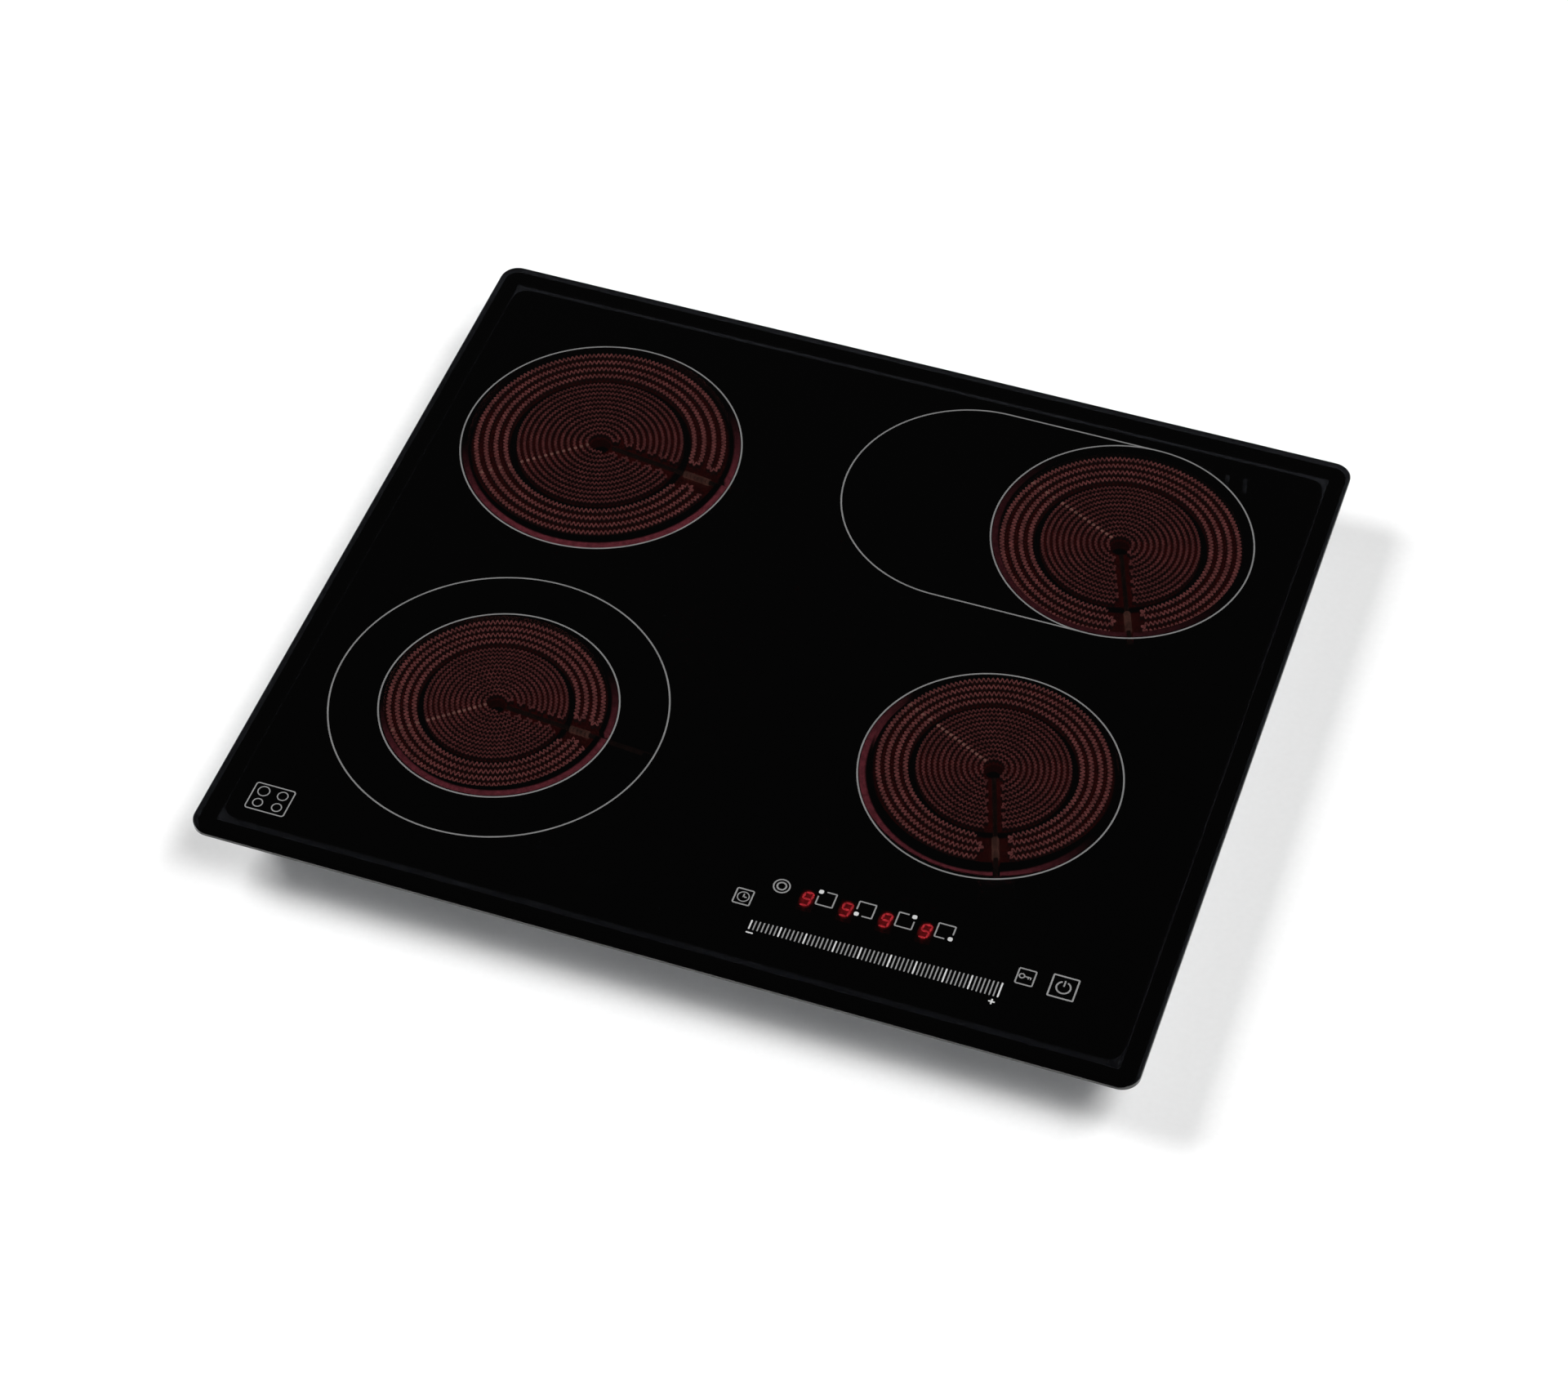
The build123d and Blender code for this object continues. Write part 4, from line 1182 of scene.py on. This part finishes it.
    def limiter(self) -> None:
        """The quartz rod across the heater and its beads where it passes the rim."""
        node = f"limiter_rod_{self.zone}"
        low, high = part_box(node)
        level = (low.z + high.z) / 2
        front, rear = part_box(f"heater_dish_{self.zone}")
        end = (rear.y - front.y) / 2
        rod = Workpiece.rod(
            f"quartz_rod_{self.zone}",
            self.outward(self.core_first * self.size, self.gap, level),
            self.outward(end, self.gap, level),
            self.rod_radius,
            24,
        )
        rod.soften(0.6 * MM, 3, 60.0)
        rod.finish(House.ROD, "quartz_rod", self.body, [node])
        first = self.rim_first * self.size
        count = int((self.rim_last - self.rim_first) * self.size / self.bead_pitch)
        beads = [self.bead(first + i * self.bead_pitch, level) for i in range(count)]
        beads[0].join(beads[1:]).finish(House.BEADS, "quartz_rod", self.body)

    def bead(self, start: float, level: float) -> Workpiece:
        """One barrel-shaped ceramic bead, threaded on the rod."""
        one = self.outward(start, self.gap, level)
        two = self.outward(start + self.bead_length, self.gap, level)
        bead = Workpiece.rod(f"limiter_beads_{self.zone}", one, two, self.bead_radius, 20)
        along = (two - one).normalized()
        bead.open().pick_faces(lambda middle, normal: abs(normal.dot(along)) > 0.9)
        bead.inset(0.7 * MM, -0.25 * MM).close()
        return bead.soften(0.5 * MM, 3, 50.0)

    def head(self) -> None:
        """The ceramic switch head outside the dish."""
        node = f"limiter_head_{self.zone}"
        head = Workpiece.from_node(f"switch_head_{self.zone}", node)
        head.ease(0.45 * MM, House.HEAD, "ceramic_head", node, self.body)

    def board(self) -> None:
        """The insulation bed and its wall."""
        centre = self.centre
        bed = LitBed(f"lit board under {self.zone}", (centre.x, centre.y), self.size)
        bed.dress(f"insulation_base_{self.zone}")
        lip = zone_point(self.zone) + LIP_SHIFT
        title = f"lit wall of {self.zone}"
        wall = LitWall(title, (lip.x, lip.y), self.lit_reach, self.crescent, self.crescent_power)
        wall.dress(f"insulation_wall_{self.zone}")

    def build(self) -> None:
        """Makes and dresses all of the heater."""
        self.ribbons()
        self.limiter()
        self.head()
        self.board()
        House.DISH.dress(f"heater_dish_{self.zone}")
        House.SPRING.dress(f"leaf_springs_{self.zone}")


@dataclass
class TwoRingHeater(RadiantHeater):
    """A heater with a second ring around the first, here switched off."""

    dual_tracks: int = 4
    dual_first: float = 83.2 * MM
    dual_last: float = 98.2 * MM

    def ribbons(self) -> None:
        """Adds the second ring."""
        super().ribbons()
        radii = spread(self.dual_first, self.dual_last, self.dual_tracks)
        ring = self.track(radii, self.rim_gap, self.rim_sheet)
        self.strip(f"dual_element_{self.zone}", ring, self.fold_rim, House.RIBBON_COLD)


@dataclass
class OvalHeater(RadiantHeater):
    """A heater with a half-moon extension for long pans, here switched off."""

    oval_tracks: int = 6
    oval_first: float = 31.0 * MM
    oval_last: float = 72.0 * MM
    half_angle: float = 66.0

    def ribbons(self) -> None:
        """Adds the half-moon about the dish's left-hand end."""
        super().ribbons()
        low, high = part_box(f"heater_dish_{self.zone}")
        left = Vector((low.x + (high.y - low.y) / 2, (low.y + high.y) / 2, 0.0))
        radii = tuple(spread(self.oval_first, self.oval_last, self.oval_tracks))
        moon = Track(left, radii, 0.0, lambda radius: self.half_angle)
        self.strip(f"oval_element_{self.zone}", moon, self.fold_rim, House.RIBBON_COLD)


# --- the printed top ---------------------------------------------------------------


class Corner(Enum):
    """The corner of a key's square that its dot stands in, as signs of x and y."""

    REAR_LEFT = (-1, 1)
    FRONT_LEFT = (-1, -1)
    REAR_RIGHT = (1, 1)
    FRONT_RIGHT = (1, -1)


@dataclass
class PrintedTop:
    """The glass with everything that is fired onto it."""

    ink: float = 0.02 * MM
    outline_share: float = 0.6
    ring_line: float = 1.0 * MM
    key_line: float = 0.9 * MM
    key_round: float = 1.3 * MM
    key_width: float = 11.2 * MM
    key_depth: float = 12.0 * MM

    @property
    def level(self) -> float:
        """The height of the glass's top face."""
        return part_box("glass_panel")[1].z

    def at(self, x: float, y: float) -> Vector:
        """A place on the glass, from millimetres about its middle."""
        low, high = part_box("glass_panel")
        middle = (low + high) / 2
        return Vector((middle.x + x * MM, middle.y + y * MM, self.level))

    def print(self, name: str, shapes: Sequence[Workpiece], ink: FiredInk, share: float = 1.0) -> None:
        """Joins flat shapes into one printed mark.

        Args:
            name: What the mark is called.
            shapes: Its strokes.
            ink: The ink that it is printed in.
            share: How much of the usual thickness the ink has.
        """
        shapes[0].obj.name = name
        mark = shapes[0].join(shapes[1:])
        mark.open().everything()
        bpy.ops.mesh.normals_make_consistent(inside=False)
        mark.close()
        mark.modify("SOLIDIFY", thickness=self.ink * share, offset=1.0, use_even_offset=True)
        low = min(v.co.z for v in mark.obj.data.vertices)
        mark.move(Matrix.Translation((0, 0, self.level - low)))
        mark.finish(ink, "ceramic_glass", "hob")

    def ring(self, centre: Vector, radius: float, line: float, sides: int = 192) -> Workpiece:
        """A thin flat ring; radius is to the middle of its line."""
        ring = Workpiece.disc("ring", centre, radius + line / 2, sides)
        ring.open().everything().inset(line).delete_faces()
        return ring.close()

    def frame(self, centre: Vector, width: float, depth: float, line: float, corner: float) -> Workpiece:
        """A rounded rectangle's outline.

        Args:
            centre: Its middle.
            width: Its size along X, to the outside of its line.
            depth: Its size along Y, to the outside of its line.
            line: How wide its line is.
            corner: How far its corners are rounded.

        Returns:
            The outline.
        """
        outline = Workpiece.plate("frame", centre, width, depth)
        outline.open().everything().bevel(corner, 5, "VERTICES")
        outline.everything().inset(line).delete_faces()
        return outline.close()

    def bar(self, centre: Vector, width: float, depth: float) -> Workpiece:
        """A short stroke with rounded ends."""
        bar = Workpiece.plate("bar", centre, width, depth)
        bar.open().everything().bevel(min(width, depth) * 0.35, 3, "VERTICES")
        return bar.close()

    def zone_rings(self, radii: dict[str, Sequence[float]]) -> None:
        """One ring or more around each zone's centre."""
        for zone, sizes in radii.items():
            for number, radius in enumerate(sizes):
                ring = self.ring(zone_point(zone), radius * MM, self.ring_line)
                self.print(f"zone_ring_{zone}_{number + 1}", [ring], House.RING_INK)

    def oval_outline(self, zone: str, radius: float, left: float) -> None:
        """The stadium around the oval zone, opened out from a ring.

        Args:
            zone: The zone's name.
            radius: The radius of its ends, in millimetres.
            left: How far right of the glass's middle its left-hand end has its centre, in millimetres.
        """
        right = zone_point(zone)
        outline = self.ring(right, radius * MM, self.ring_line)
        outline.open()
        outline.pick_faces(lambda middle, normal: middle.x < right.x)
        bpy.ops.transform.translate(value=(self.at(left, 0).x - right.x, 0, 0))
        outline.pick_faces(lambda middle, normal: middle.x > right.x)
        outline.delete_faces().close()
        self.print(f"zone_outline_{zone}", [outline], House.RING_INK, self.outline_share)

    def key_frame(self, middle: Vector) -> Workpiece:
        """The rounded square around a small key."""
        return self.frame(middle, self.key_width, self.key_depth, self.key_line, self.key_round)

    def timer_key(self, x: float, y: float) -> None:
        """A clock face in a rounded square."""
        middle = self.at(x, y)
        hands = [
            self.bar(middle + mm(0.0, 1.0), 0.8 * MM, 2.8 * MM),
            self.bar(middle + mm(1.1, -0.1), 2.0 * MM, 0.8 * MM),
        ]
        face = self.ring(middle, 3.5 * MM, 0.65 * MM, 48)
        outline = self.key_frame(middle)
        self.print("key_timer", [outline, face, *hands], House.GREY_INK)

    def two_ring_key(self, x: float, y: float) -> None:
        """Two rings, one inside the other."""
        middle = self.at(x, y)
        rings = [self.ring(middle, 4.9 * MM, 0.9 * MM, 64), self.ring(middle, 2.7 * MM, 1.0 * MM, 48)]
        self.print("key_two_rings", rings, House.GREY_INK)

    def zone_key(self, number: int, x: float, y: float, corner: Corner) -> None:
        """A square that is open at one corner, with a dot in it.

        Args:
            number: Which of the four keys it is.
            x: Its middle, in millimetres right of the glass's.
            y: Its middle, in millimetres behind the glass's.
            corner: The open corner, where the dot is.
        """
        side, open_by = self.key_width, 4.6 * MM
        sign_x, sign_y = corner.value
        middle = self.at(x, y)
        outline = self.frame(middle, side, side, self.key_line, 0.9 * MM)
        outline.open()
        reach = side / 2 - open_by
        for cut, normal in ((sign_x, (1, 0, 0)), (sign_y, (0, 1, 0))):
            outline.everything()
            bpy.ops.mesh.bisect(plane_co=middle + Vector(normal) * cut * reach, plane_no=normal)
        outline.pick_faces(
            lambda place, facing: (place.x - middle.x) * sign_x > reach
            and (place.y - middle.y) * sign_y > reach
        )
        outline.delete_faces().close()
        dot_at = middle + Vector((sign_x, sign_y, 0)) * (side / 2 - 1.2 * MM)
        dot = self.bar(dot_at, 2.9 * MM, 2.9 * MM)
        self.print(f"key_zone_{number}", [outline], House.GREY_INK)
        self.print(f"key_dot_{number}", [dot], House.WHITE_INK)

    def lock_key(self, x: float, y: float) -> None:
        """A key in a rounded square."""
        middle = self.at(x, y)
        bow = self.ring(middle + mm(-2.4, 0.3), 1.55 * MM, 0.8 * MM, 32)
        shaft = self.bar(middle + mm(1.4, 0.3), 4.2 * MM, 0.8 * MM)
        teeth = [self.bar(middle + mm(t, -0.6), 0.7 * MM, 1.1 * MM) for t in (1.6, 3.0)]
        outline = self.key_frame(middle)
        self.print("key_lock", [outline, bow, shaft, *teeth], House.GREY_INK)

    def power_key(self, x: float, y: float) -> None:
        """The usual broken circle and stroke."""
        middle = self.at(x, y)
        circle = self.ring(middle, 4.2 * MM, 1.0 * MM, 64)
        circle.open().pick_faces(
            lambda place, facing: place.y > middle.y and abs(place.x - middle.x) < 1.6 * MM
        )
        circle.delete_faces().close()
        stroke = self.bar(middle + mm(0, 2.9), 0.95 * MM, 4.4 * MM)
        outline = self.frame(middle, 16.3 * MM, 16.7 * MM, 1.0 * MM, 1.0 * MM)
        self.print("key_power", [outline, circle, stroke], House.GREY_INK)

    def slider(self, first_x: float, last_x: float, foot_y: float) -> None:
        """The comb of ticks that a finger slides along, taller towards full power.

        Args:
            first_x: The first tick, in millimetres right of the glass's middle.
            last_x: The last tick, in the same way.
            foot_y: The ticks' front ends, in millimetres behind the glass's middle.
        """
        ticks, shortest, tallest, steps = 60, 7.0, 11.0, 9
        strong = {math.floor(i * (ticks - 1) / steps + 0.5) for i in range(steps + 1)}
        light: list[Workpiece] = []
        heavy: list[Workpiece] = []
        for i, x in enumerate(spread(first_x, last_x, ticks)):
            tall = shortest + (tallest - shortest) * i / (ticks - 1)
            tick = self.bar(self.at(x, foot_y + tall / 2), (1.0 if i in strong else 0.85) * MM, tall * MM)
            (heavy if i in strong else light).append(tick)
        self.print("slider_ticks", light, House.GREY_INK)
        self.print("slider_main_ticks", heavy, House.WHITE_INK)

    def slider_signs(self) -> None:
        """Less at one end of the slider, more at the other."""
        minus = self.bar(self.at(50.2, -225.0), 4.4 * MM, 1.0 * MM)
        self.print("slider_minus", [minus], House.WHITE_INK)
        middle = self.at(199.0, -226.6)
        arms = [self.bar(middle + mm(side * 1.25, 0), 1.5 * MM, 1.0 * MM) for side in (-1, 1)]
        self.print("slider_plus", [self.bar(middle, 1.0 * MM, 4.0 * MM), *arms], House.WHITE_INK)

    def maker_mark(self, x: float, y: float) -> None:
        """A plain mark in place of a maker's: the hob's own outline and its four zones."""
        middle = self.at(x, y)
        shapes = [self.frame(middle, 26.0 * MM, 21.0 * MM, 0.8 * MM, 2.0 * MM)]
        for dx, dy, radius in ((-6.2, 4.6, 3.6), (-6.2, -4.6, 3.0), (6.2, -4.6, 3.0), (6.2, 4.6, 3.2)):
            shapes.append(self.ring(middle + mm(dx, dy), radius * MM, 0.7 * MM, 40))
        self.print("plain_mark", shapes, House.GREY_INK)

    def build(self) -> None:
        """Dresses the glass and prints all of its marks."""
        House.GLASS.dress("glass_panel")
        House.SEAL.dress("glass_seal")
        House.BOND.dress("silicone_bond")
        oval = 83.9
        left = {"rear_left": [91.7], "front_left": [74.2, 105.0]}
        self.zone_rings({**left, "front_right": [80.7], "rear_right": [oval]})
        self.oval_outline("rear_right", oval, 70.0)
        self.timer_key(38.1, -201.0)
        self.two_ring_key(57.0, -186.2)
        corners = [Corner.REAR_LEFT, Corner.FRONT_LEFT, Corner.REAR_RIGHT, Corner.FRONT_RIGHT]
        for i, corner in enumerate(corners):
            self.zone_key(i + 1, 85.0 + 24.5 * i, -187.0, corner)
        self.lock_key(212.7, -203.4)
        self.power_key(235.5, -203.6)
        self.slider(48.9, 201.3, -222.6)
        self.slider_signs()
        self.maker_mark(-256.0, -224.0)


# --- controls under the glass --------------------------------------------------------


@dataclass
class DigitDisplay:
    """Four lit digits on their cases."""

    count: int = 4
    width: float = 5.2 * MM
    height: float = 9.6 * MM
    bar: float = 1.25 * MM
    thick: float = 0.25 * MM
    slant: float = 8.0
    case: float = 9.0 * MM

    def segment(self, x: float, y: float, upright: bool) -> Workpiece:
        """One bar of a digit, pointed at both ends.

        Args:
            x: Its middle, right of the digit's.
            y: Its middle, behind the digit's.
            upright: Whether it runs along Y.

        Returns:
            The bar.
        """
        length = self.width - self.bar * 0.3
        middle = mm(0, 0)
        bar = Workpiece.disc("segment", middle, length / 2, 6)
        bar.open().pick_edges(lambda place, along: True)
        flatten = self.bar / (length * math.sin(math.radians(60)))
        bar.everything().scale(Vector((1, flatten, 1)), middle)
        bar.pick_edges(lambda place, along: abs(along.y) < 0.05)
        widen = (length / 2 - self.bar / 2) / (length / 4)
        bar.scale(Vector((widen, 1, 1)), middle)
        bar.everything().extrude(Vector((0, 0, self.thick))).close()
        turn = Matrix.Rotation(math.radians(90.0 if upright else 0.0), 4, "Z")
        return bar.move(Matrix.Translation((x, y, 0)) @ turn)

    def nine(self, name: str) -> Workpiece:
        """The figure nine, leaning a little, about the origin."""
        half_x = self.width / 2
        half_y = self.height / 2
        flat = [self.segment(0.0, y, False) for y in (-half_y, 0.0, half_y)]
        tall = [self.segment(half_x, s * half_y / 2, True) for s in (-1, 1)]
        tall.append(self.segment(-half_x, half_y / 2, True))
        digit = flat[0].join([*flat[1:], *tall])
        digit.obj.name = name
        lean = Matrix.Identity(4)
        lean[0][1] = math.tan(math.radians(self.slant))
        digit.move(lean)
        digit.open().everything()
        bpy.ops.mesh.normals_make_consistent(inside=False)
        return digit.close()

    def build(self) -> None:
        """Puts a lit digit on each display case."""
        low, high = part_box("digit_displays")
        row_y = (low.y + high.y) / 2
        places = spread(low.x + self.case / 2, high.x - self.case / 2, self.count)
        pitch = (high.x - low.x - self.case) / (self.count - 1)
        DisplayFace("lit display case", (places[0], row_y), pitch).dress("digit_displays")
        first = self.nine("lit_digit_1")
        for i, x in enumerate(places):
            digit = first.copy(f"lit_digit_{i + 1}")
            digit.move(Matrix.Translation((x, row_y, high.z)))
            digit.finish(House.SEGMENT, "display_red", "hob")
        bpy.data.objects.remove(first.obj)


class Electronics:
    """The touch board in its tray and the power board on the pan's floor."""

    def build(self) -> None:
        """Dresses boards and parts."""
        tray = Workpiece.from_node("touch_tray", "touch_carrier")
        tray.ease(0.5 * MM, House.PLASTIC, "black_plastic", "touch_carrier")
        relays = Workpiece.from_node("relay_cases", "power_relays")
        relays.ease(0.8 * MM, House.RELAY, "component_plastic", "power_relays")
        House.CIRCUIT.dress("touch_board", "power_board")
        House.KEY_FOAM.dress("touch_springs")
        House.PARTS.dress("board_parts")
        House.PLASTIC.dress("board_standoffs")
        House.LEADS.dress("internal_leads")


# --- pan, terminals and clamps ---------------------------------------------------------


@dataclass
class BasePan:
    """The steel pan, with the blind rivets that close its corners."""

    flange: float = 6.0 * MM
    rivet_radius: float = 2.6 * MM
    rivet_rise: float = 0.9 * MM
    rivet_ys: tuple[float, ...] = (-0.222, -0.150, 0.150, 0.222)
    lower_row: float = 16.0 * MM
    upper_row: float = 38.5 * MM

    def rivet(self, place: Vector, outward: Vector) -> Workpiece:
        """A domed rivet head with the pulled stem's dimple in it."""
        head = Workpiece.rod("rivet", place, place + outward * self.rivet_rise, self.rivet_radius, 24)
        head.open().pick_faces(lambda middle, normal: normal.dot(outward) > 0.9)
        head.inset(0.9 * MM, 0.25 * MM).inset(0.7 * MM, 0.0).inset(0.1 * MM, -0.5 * MM)
        return head.close().soften(0.25 * MM, 2, 30.0)

    def build(self) -> None:
        """Dresses the pan and rivets its side walls."""
        House.PAN.dress("base_pan")
        wall_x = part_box("base_pan")[1].x - self.flange
        rivets = []
        for side in (-1, 1):
            for y in self.rivet_ys:
                for z in (self.upper_row,) if y < 0 else (self.lower_row, self.upper_row):
                    place = Vector((side * (wall_x - 0.05 * MM), y, z))
                    rivets.append(self.rivet(place, Vector((side, 0, 0))))
        rivets[0].obj.name = "wall_rivets"
        rivets[0].join(rivets[1:]).finish(House.SCREW, "screw_steel", "hob")


class TerminalStation:
    """The mains terminals at the back, behind their hinged cover."""

    def build(self) -> None:
        """Dresses the box, the cover, the block and the inlet bush."""
        box = Workpiece.from_node("terminal_housing", "terminal_box")
        box.ease(0.4 * MM, House.PLASTIC, "black_plastic", "terminal_box")
        cover = Workpiece.from_node("hinged_cover", "terminal_cover")
        cover.ease(0.35 * MM, House.PLASTIC, "black_plastic", "terminal_cover", "cover")
        block = Workpiece.from_node("terminal_body", "terminal_block")
        block.ease(0.5 * MM, House.TERMINAL, "terminal_ceramic", "terminal_block")
        bush = Workpiece.from_node("inlet_bush", "cable_bush")
        bush.soften(0.6 * MM, 3).finish(House.BUSH, "bush_rubber", "hob", ["cable_bush"])
        House.SCREW.dress("terminal_screws", "cover_hinge_pin", "earth_screw")


@dataclass
class WorktopClamps:
    """Four swinging clamps under the pan and their screws."""

    zones: tuple[str, ...] = ("rear_left", "front_left", "front_right", "rear_right")

    def build(self) -> None:
        """Eases the edges of each clamp and dresses the screws."""
        for zone in self.zones:
            arm = Workpiece.from_node(f"clamp_bar_{zone}", f"clamp_{zone}")
            arm.ease(0.35 * MM, House.CLAMP, "clamp_steel", f"clamp_{zone}", f"clamp_arm_{zone}")
        House.SCREW.dress("clamp_screws")


# --- studio ------------------------------------------------------------------------------


@dataclass
class Studio:
    """A pale floor, soft boxes and a sky that is bright only near the horizon."""

    floor_half: float = 16.0

    def floor(self) -> None:
        """The sweep that the hob stands on."""
        deselect()
        bpy.ops.mesh.primitive_plane_add(size=2 * self.floor_half, location=(0, 0, 0))
        floor = bpy.context.object
        floor.name = "studio_floor"
        floor.data.materials.append(House.FLOOR.material())

    def soft_box(self, name: str, place: Vector, aim: Vector, size: float, power: float) -> None:
        """One square soft box.

        Args:
            name: What the lamp is called.
            place: Where it hangs.
            aim: What it points at.
            size: The length of its sides.
            power: Its power in watts.
        """
        turn = (aim - place).to_track_quat("-Z", "Y").to_euler()
        bpy.ops.object.light_add(type="AREA", location=place, rotation=turn)
        lamp = bpy.context.object
        lamp.name = name
        lamp.data.size = size
        lamp.data.energy = power

    def sky(self) -> None:
        """Bright near the horizon and dark above, so that the glass stays black."""
        world = bpy.data.worlds.new("studio sky")
        bpy.context.scene.world = world
        world.use_nodes = True
        nodes, links = world.node_tree.nodes, world.node_tree.links
        place = nodes.new("ShaderNodeTexCoord")
        split = nodes.new("ShaderNodeSeparateXYZ")
        ramp = nodes.new("ShaderNodeValToRGB")
        links.new(place.outputs["Generated"], split.inputs["Vector"])
        links.new(split.outputs["Z"], ramp.inputs["Fac"])
        links.new(ramp.outputs["Color"], nodes["Background"].inputs["Color"])
        shades = [(0.0, 1.0), (0.12, 0.98), (0.30, 0.16), (0.5, 0.03), (1.0, 0.03)]
        fill_ramp(ramp, [(where, grey(shade)) for where, shade in shades])

    def build(self) -> None:
        """Sets the studio up."""
        bpy.context.scene.view_settings.view_transform = "Standard"
        self.floor()
        self.sky()
        aim = Vector((0, 0, 0.03))
        self.soft_box("left_box", Vector((-3.0, -0.5, 3.9)), aim, 2.0, 170.0)
        self.soft_box("right_box", Vector((2.1, -1.2, 4.3)), aim, 2.2, 150.0)
        self.soft_box("rear_box", Vector((2.4, 1.6, 4.2)), aim, 1.6, 70.0)


@dataclass
class CameraStand:
    """The camera, by the place on the glass that it looks at, and from what angles in degrees."""

    lens: float = 90.76
    distance: float = 2.4363
    aim: tuple[float, float] = (0.0083, -0.04165)
    azimuth: float = 19.213
    elevation: float = 49.109
    roll: float = -0.153

    def build(self) -> None:
        """Adds the camera and makes it the scene's."""
        low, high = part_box("glass_panel")
        aim = Vector((*self.aim, high.z))
        turn, tilt = math.radians(self.azimuth), math.radians(self.elevation)
        level = math.cos(tilt)
        back = Vector((math.sin(turn) * level, -math.cos(turn) * level, math.sin(tilt)))
        facing = (-back).to_track_quat("-Z", "Y").to_matrix()
        facing = facing @ Matrix.Rotation(math.radians(self.roll), 3, "Z")
        bpy.ops.object.camera_add(location=aim + back * self.distance, rotation=facing.to_euler())
        camera = bpy.context.object
        camera.name = "hob_camera"
        camera.data.lens = self.lens
        bpy.context.scene.camera = camera


def main() -> None:
    """Builds the hob's looks, sub-assembly by sub-assembly."""
    logging.basicConfig(level=logging.INFO, format="%(message)s")
    left = {"seam": 219.0, "crescent": -62.0}
    right = {"seam": 154.0, "crescent": -122.0}
    heaters = [
        RadiantHeater("rear_left", gap=-7.0, lit_reach=91.0 * MM, crescent_power=11.0, **left),
        TwoRingHeater("front_left", gap=-4.5, lit_reach=73.6 * MM, crescent_power=9.0, **left),
        RadiantHeater("front_right", gap=-72.0, lit_reach=80.0 * MM, crescent_power=9.0, **right),
        OvalHeater("rear_right", gap=-70.0, lit_reach=83.2 * MM, crescent_power=3.0, **right),
    ]
    assemblies = [PrintedTop(), *heaters, DigitDisplay(), Electronics(), BasePan(), TerminalStation()]
    for assembly in [*assemblies, WorktopClamps(), Studio(), CameraStand()]:
        log.info("building %s", type(assembly).__name__)
        assembly.build()


if __name__ == "__main__":
    main()
